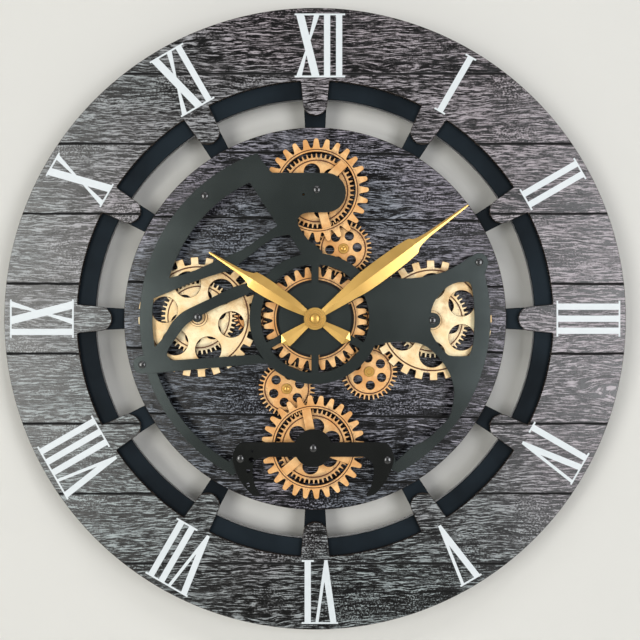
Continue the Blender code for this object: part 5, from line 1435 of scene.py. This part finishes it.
def make_hand(node, name, stations, angle, bore):
    """A hand with its tail and its round boss, turned to its angle."""
    back, front = out_range(node)
    hand = Shape()
    blade(hand, stations, back + 0.1 * MM, angle)
    blade(hand, TAIL, back + 0.15 * MM, angle + 180)
    hand.turned([(bore, back), (10.2 * MM, back), (10.5 * MM, back + 0.3 * MM), (10.5 * MM, front - 0.5 * MM),
                 (10.1 * MM, front - 0.1 * MM), (8.6 * MM, front - 0.1 * MM), (8.2 * MM, front - 0.5 * MM),
                 (6.6 * MM, front - 0.5 * MM), (6.2 * MM, front), (bore, front)], 96)
    dress(hand.place(name, angle=HAND_SHARP), "hand_gold", node)


PIPE_RADIUS = 3.0 * MM
ARBOR_RADIUS = radius_of("minute_arbor")
make_hand("hour_hand", "creased_hour_hand", HOUR, 147.9, PIPE_RADIUS + BORE_GAP)
make_hand("minute_hand", "creased_minute_hand", MINUTE, 36.6, ARBOR_RADIUS + BORE_GAP)
print("hands creased")

# %% [markdown]
# A brass nut holds the minute hand, and the end of the arbor stands in its hole.

# %% Turn the nut and the arbor's tip
base, front = out_range("hand_nut")
bore = ARBOR_RADIUS + BORE_GAP
nut = [(bore, base), (4.4 * MM, base), (4.7 * MM, base + 0.3 * MM), (4.7 * MM, front - 0.9 * MM),
       (4.1 * MM, front - 0.25 * MM), (3.3 * MM, front), (bore + 0.3 * MM, front), (bore, front - 0.3 * MM)]
dress(Shape().turned(nut, 72).place("centre_nut"), "brass", "hand_nut")
base, front = out_range("minute_arbor")
tip = [(0, base), (ARBOR_RADIUS, base), (ARBOR_RADIUS, front - 0.4 * MM),
       (0.5 * ARBOR_RADIUS, front - 0.05 * MM), (0, front)]
dress(Shape().turned(tip, 48).place("arbor_rod"), "brass", "minute_arbor")
print("nut and arbor turned")

# %% [markdown]
# ## The back
#
# Behind the frame a round pan holds the movement, the motor and the cells. Its floor lies on
# the wall, with two grooves, a recess where the cells' door slides, and a hole for the knob
# that sets the hands. The pan is turned like a bowl, and the openings are cut out of it.

# %% Mould the pan
HOUSING_WALL = 2.2 * MM
HOUSING_FLOOR = 2.4 * MM
housing_front = out_range("rear_housing")[1]
housing_radius = radius_of("rear_housing")
inner = housing_radius - HOUSING_WALL
door_low, door_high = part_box("battery_door")
door_half = door_high.x
door_back, door_front = out_range("battery_door")
DOOR_TRAVEL = 8.0 * MM
CLEAR = 0.3 * MM
KNOB_PLACE = axis_of("setting_knob")
KNOB_RADIUS = radius_of("setting_knob")
POCKETS = {angle: polar(87.5 * MM, angle) for angle in (45, 135, 225, 315)}
grooves = []
for middle in (80 * MM, 95 * MM):
    start, end = middle - 0.6 * MM, middle + 0.6 * MM
    grooves += [(start, 0), (start, 0.5 * MM), (end, 0.5 * MM), (end, 0)]
pan = [(0, 0), *grooves, (housing_radius - 2 * MM, 0), (housing_radius - 0.6 * MM, 0.6 * MM),
       (housing_radius, 2 * MM), (housing_radius, housing_front - 0.5 * MM),
       (housing_radius - 0.5 * MM, housing_front), (inner, housing_front), (inner, HOUSING_FLOOR + MM),
       (inner - MM, HOUSING_FLOOR), (0, HOUSING_FLOOR)]
housing = Shape().turned(pan, 144).place("round_pan")
recess = bar(-door_half - CLEAR, door_half + CLEAR, door_low.z - DOOR_TRAVEL - CLEAR, door_high.z + CLEAR)
combine(housing, block(rounded(recess, MM), -MM, door_front + CLEAR), "DIFFERENCE")
ledge = 3.2 * MM
bay_half = min(door_half - ledge, 25.5 * MM)
bay = bar(-bay_half, bay_half, door_low.z + ledge, door_high.z - 2.0 * MM)
combine(housing, block(rounded(bay, 2 * MM), -MM, HOUSING_FLOOR + MM), "DIFFERENCE")
combine(housing, block(circle(KNOB_RADIUS + CLEAR, 64, KNOB_PLACE), -MM, HOUSING_FLOOR + MM), "DIFFERENCE")
for place in POCKETS.values():
    combine(housing, block(circle(3.4 * MM, 40, place), -MM, MM), "DIFFERENCE")
shade(housing.data)
dress(housing, "black_plastic", "rear_housing")
print("pan moulded, pockets:", len(POCKETS))

# %% [markdown]
# Four screws sit in pockets of the pan, so that their heads stay clear of the wall. The dome
# of each faces the wall, so its profile runs backwards from the seat in the pocket.

# %% Turn the pan's screws
PAN_SEAT = 0.95 * MM
for angle, place in POCKETS.items():
    head = [(radius, PAN_SEAT - out) for radius, out in dome(2.9 * MM, 0.0, 0.75 * MM)]
    profile = [(0, 1.3 * MM), (1.2 * MM, 1.3 * MM), (1.2 * MM, PAN_SEAT)] + head
    recess = (cross(1.6 * MM, 0.3 * MM, angle), -MM, 0.6 * MM)
    screw = carve(f"pan_screw_{angle}", profile, [recess], place)
    dress(screw, "black_steel", "rear_housing", stands_for=False)
print("pan screws done")

# %% [markdown]
# The door is a flat sheet with seven ridges for the thumb and an arrow that says which way it
# slides. The knob is knurled like a coarse gear, with a bar across its face, and a short tube
# of it goes onto the setting wheel.

# %% Make the door and the knob
door = Shape().sheet(rounded(bar(-door_half, door_half, door_low.z, door_high.z), MM), door_back + 0.25 * MM,
                     door_front, (), 0.15 * MM)
for n in range(7):
    height = door_high.z - (5 + 2.2 * n) * MM
    ridge = rounded(bar(-14 * MM, 14 * MM, height - 0.5 * MM, height + 0.5 * MM), 0.4 * MM)
    door.sheet(ridge, door_back, door_back + 0.4 * MM, (), 0.12 * MM)
arrow = [(-4 * MM, door_low.z + 12 * MM), (0.0, door_low.z + 6 * MM), (4 * MM, door_low.z + 12 * MM)]
door.sheet(arrow, door_back, door_back + 0.4 * MM, (), 0.12 * MM)
dress(door.place("cell_door"), "black_plastic", "battery_door")

knob_back, knob_front = out_range("setting_knob")
knob_face = knob_back + 1.6 * MM
tip = KNOB_RADIUS / MM
knurl = toothed(36, [(-0.25, tip - 0.3), (0.0, tip), (0.25, tip - 0.3)])
knob = Shape().sheet(knurl, knob_back, knob_face, (), 0.2 * MM)
knob.turned([(1.3 * MM, knob_face - 0.3 * MM), (2.3 * MM, knob_face - 0.3 * MM), (2.3 * MM, knob_front),
             (1.3 * MM, knob_front)], 40)
knob.sheet(bar(-2.6 * MM, 2.6 * MM, -0.5 * MM, 0.5 * MM), knob_back, knob_back + 0.3 * MM, (), 0.05 * MM)
dress(knob.place("knurled_knob", KNOB_PLACE), "white_plastic", "setting_knob")
print("door and knob made")

# %% [markdown]
# The hanger is sheet steel pressed into a hat: a raised middle with the keyhole, two walls and
# two flanges with a rivet head each. Its keyhole takes a screw in the wall. Two rubber feet,
# turned as round pads, keep the clock parallel to the wall.

# %% Press the hanger and turn the feet
hanger_low, hanger_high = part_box("wall_hanger")
raised, seat = out_range("wall_hanger")
HANGER_SHEET = 1.5 * MM
FLANGE = 7.5 * MM
web = hanger_high.x - FLANGE
middle = (hanger_low.z + hanger_high.z) / 2
hole = (0.0, middle - 3 * MM)
HOLE_RADIUS = 4.5 * MM
SLOT_HALF = 2.0 * MM
side = math.degrees(math.asin(SLOT_HALF / HOLE_RADIUS))
keyhole = arc(HOLE_RADIUS, 90 + side, 450 - side, 40, hole)
keyhole += arc(SLOT_HALF, 0, 180, 16, (0.0, middle + 6 * MM))
hanger = Shape().sheet(bar(-web, web, hanger_low.z, hanger_high.z), raised, raised + HANGER_SHEET, [keyhole],
                       0.2 * MM)
for way in (-1, 1):
    near, far = sorted((way * (web - HANGER_SHEET), way * web))
    hanger.sheet(bar(near, far, hanger_low.z, hanger_high.z), raised, seat, (), 0.15 * MM)
    near, far = sorted((way * (web - HANGER_SHEET), way * hanger_high.x))
    flange = rounded(bar(near, far, hanger_low.z, hanger_high.z), 2 * MM)
    hanger.sheet(flange, seat - HANGER_SHEET, seat, (), 0.2 * MM)
    head = [(radius, seat - HANGER_SHEET - out) for radius, out in dome(2.6 * MM, 0.0, 1.2 * MM)]
    hanger.turned([(0, seat - 0.5 * MM), (1.2 * MM, seat - 0.5 * MM)] + head, 40,
                  (way * (hanger_high.x - 0.4 * FLANGE), middle))
dress(hanger.place("keyhole_hanger"), "steel", "wall_hanger")

for side in ("left", "right"):
    node = f"wall_bumper_{side}"
    back, front = out_range(node)
    radius = radius_of(node)
    foot = [(0, back), (0.6 * radius, back), (0.82 * radius, back + 0.25 * MM), (0.95 * radius, back + MM),
            (radius, back + 2.4 * MM), (radius, front), (0, front)]
    dress(Shape().turned(foot, 72).place(f"rubber_foot_{side}", axis_of(node)), "rubber", node)
print("hanger and feet done")

# %% [markdown]
# What lies out of sight, inside the pan or the hubs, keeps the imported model's own shape. It
# only gets a finish, for whoever takes the pan away.

# %% Finish what is kept
KEPT = {"threaded_bush": "brass", "movement_case": "black_plastic", "gear_motor": "steel",
        "clock_battery": "cell_sleeve", "gear_battery": "cell_sleeve", "hour_wheel": "white_plastic",
        "minute_wheel": "white_plastic"}
for node, finish in KEPT.items():
    bpy.data.objects[node].material_slots[0].material = FINISHES[finish].material
print("kept from the packed model:", sorted(KEPT))

# %% [markdown]
# ## Wall, floor, lamps and camera
#
# The photograph shows the clock from straight ahead. Lens and distance were found by measuring
# the dial in the photograph; the small shifts sideways and down put its middle where it is there.

# %% Place the camera
SENSOR = 36.0
LENS = 64.13
CAMERA_PLACE = (0.0047, -1.1343, -0.00125)
camera_data = bpy.data.cameras.new("camera")
camera_data.lens = LENS
camera_data.sensor_width = SENSOR
camera = bpy.data.objects.new("camera", camera_data)
camera.location = CAMERA_PLACE
camera.rotation_euler = (math.radians(90), 0.0, 0.0)
bpy.context.scene.collection.objects.link(camera)
bpy.context.scene.camera = camera
print("camera placed", round(-CAMERA_PLACE[1], 3), "m in front of the wall")

# %% [markdown]
# The clock hangs on a pale wall that curves into the floor, so that no corner line shows. The
# wall is opaque from its front and clear from behind, and it stops no lamp's light, so that
# the clock's back can be looked at through it.

# %% Build the wall
wall_finish = Finish("wall_paint", {"Roughness": 0.9, "Specular IOR Level": 0.1})
wall_finish.set("Base Color", tint(228, 227, 222))
backing = wall_finish.add("ShaderNodeNewGeometry", output="Backfacing")
clear = wall_finish.add("ShaderNodeBsdfTransparent")
surface = Wire(wall_finish, wall_finish.shader.outputs[0])
output = wall_finish.tree.nodes["Material Output"]
shown = wall_finish.add("ShaderNodeMixShader", inputs={0: backing, 1: surface, 2: clear})
wall_finish.tree.links.new(shown.socket, output.inputs["Surface"])

WALL_HALF = 6.0
WALL_GAP = 0.002
WALL_TOP = 4.0
FLOOR = -1.4
FLOOR_END = -8.0
COVE = 0.35
profile = [(WALL_GAP, WALL_TOP), (WALL_GAP, FLOOR + COVE)]
for turn in range(10, 91, 10):
    along, down = COVE * math.cos(math.radians(turn)), COVE * math.sin(math.radians(turn))
    profile.append((WALL_GAP - COVE + along, FLOOR + COVE - down))
profile.append((FLOOR_END, FLOOR))
bm = bmesh.new()
rows = [[bm.verts.new((x, y, z)) for x in (-WALL_HALF, WALL_HALF)] for y, z in profile]
for one, two in zip(rows, rows[1:]):
    bm.faces.new((one[0], one[1], two[1], two[0]))
wall_mesh = bpy.data.meshes.new("wall")
bm.to_mesh(wall_mesh)
bm.free()
wall_mesh.shade_smooth()
if wall_mesh.polygons[0].normal.y > 0:
    wall_mesh.flip_normals()
wall = new_object("wall", wall_mesh)
wall.data.materials.append(wall_finish.material)
wall.visible_shadow = False
print("wall built,", len(wall_mesh.polygons), "faces")

# %% [markdown]
# Two big panels beside the camera give most of the light. The glossy print mirrors them on the
# left and the right, which is the sheen in the photograph. A long lamp above falls beside the
# clock in that mirror, so it only lifts the shadows. A tiny lamp makes one bright dot on each
# domed screw, and the lamp behind is for whoever looks at the back. A dim grey world fills in.

# %% Set the lamps
def lamp(name, size, radiance, place, colour=(1.0, 1.0, 1.0)):
    """A lamp that faces the clock's middle; its power follows from its size and its radiance."""
    data = bpy.data.lights.new(name, "AREA")
    data.shape = "RECTANGLE"
    data.size, data.size_y = size
    data.energy = radiance * math.pi * size[0] * size[1]
    data.color = colour
    thing = bpy.data.objects.new(name, data)
    thing.location = place
    thing.rotation_euler = (-Vector(place)).to_track_quat("-Z", "Y").to_euler()
    thing.visible_camera = False
    bpy.context.scene.collection.objects.link(thing)


lamp("panel_left", (0.9, 1.4), 6.0, (-1.1, -2.3, -0.02), (1.0, 0.995, 0.96))
lamp("panel_right", (0.9, 1.4), 6.0, (1.1, -2.3, -0.02), (0.96, 0.97, 1.0))
lamp("above", (2.4, 0.5), 3.2, (0.0, -2.0, 2.3))
lamp("glint", (0.03, 0.03), 420.0, (0.15, -1.35, 1.05))
lamp("behind", (0.9, 0.9), 9.0, (0.0, 2.4, 0.2))

ROOM_GREY = 0.22
world = bpy.data.worlds.new("soft_room")
world.use_nodes = True
world.node_tree.nodes["Background"].inputs["Color"].default_value = (ROOM_GREY, ROOM_GREY, ROOM_GREY, 1.0)
bpy.context.scene.world = world
bpy.context.scene.view_settings.view_transform = "Standard"
print("lamps set")
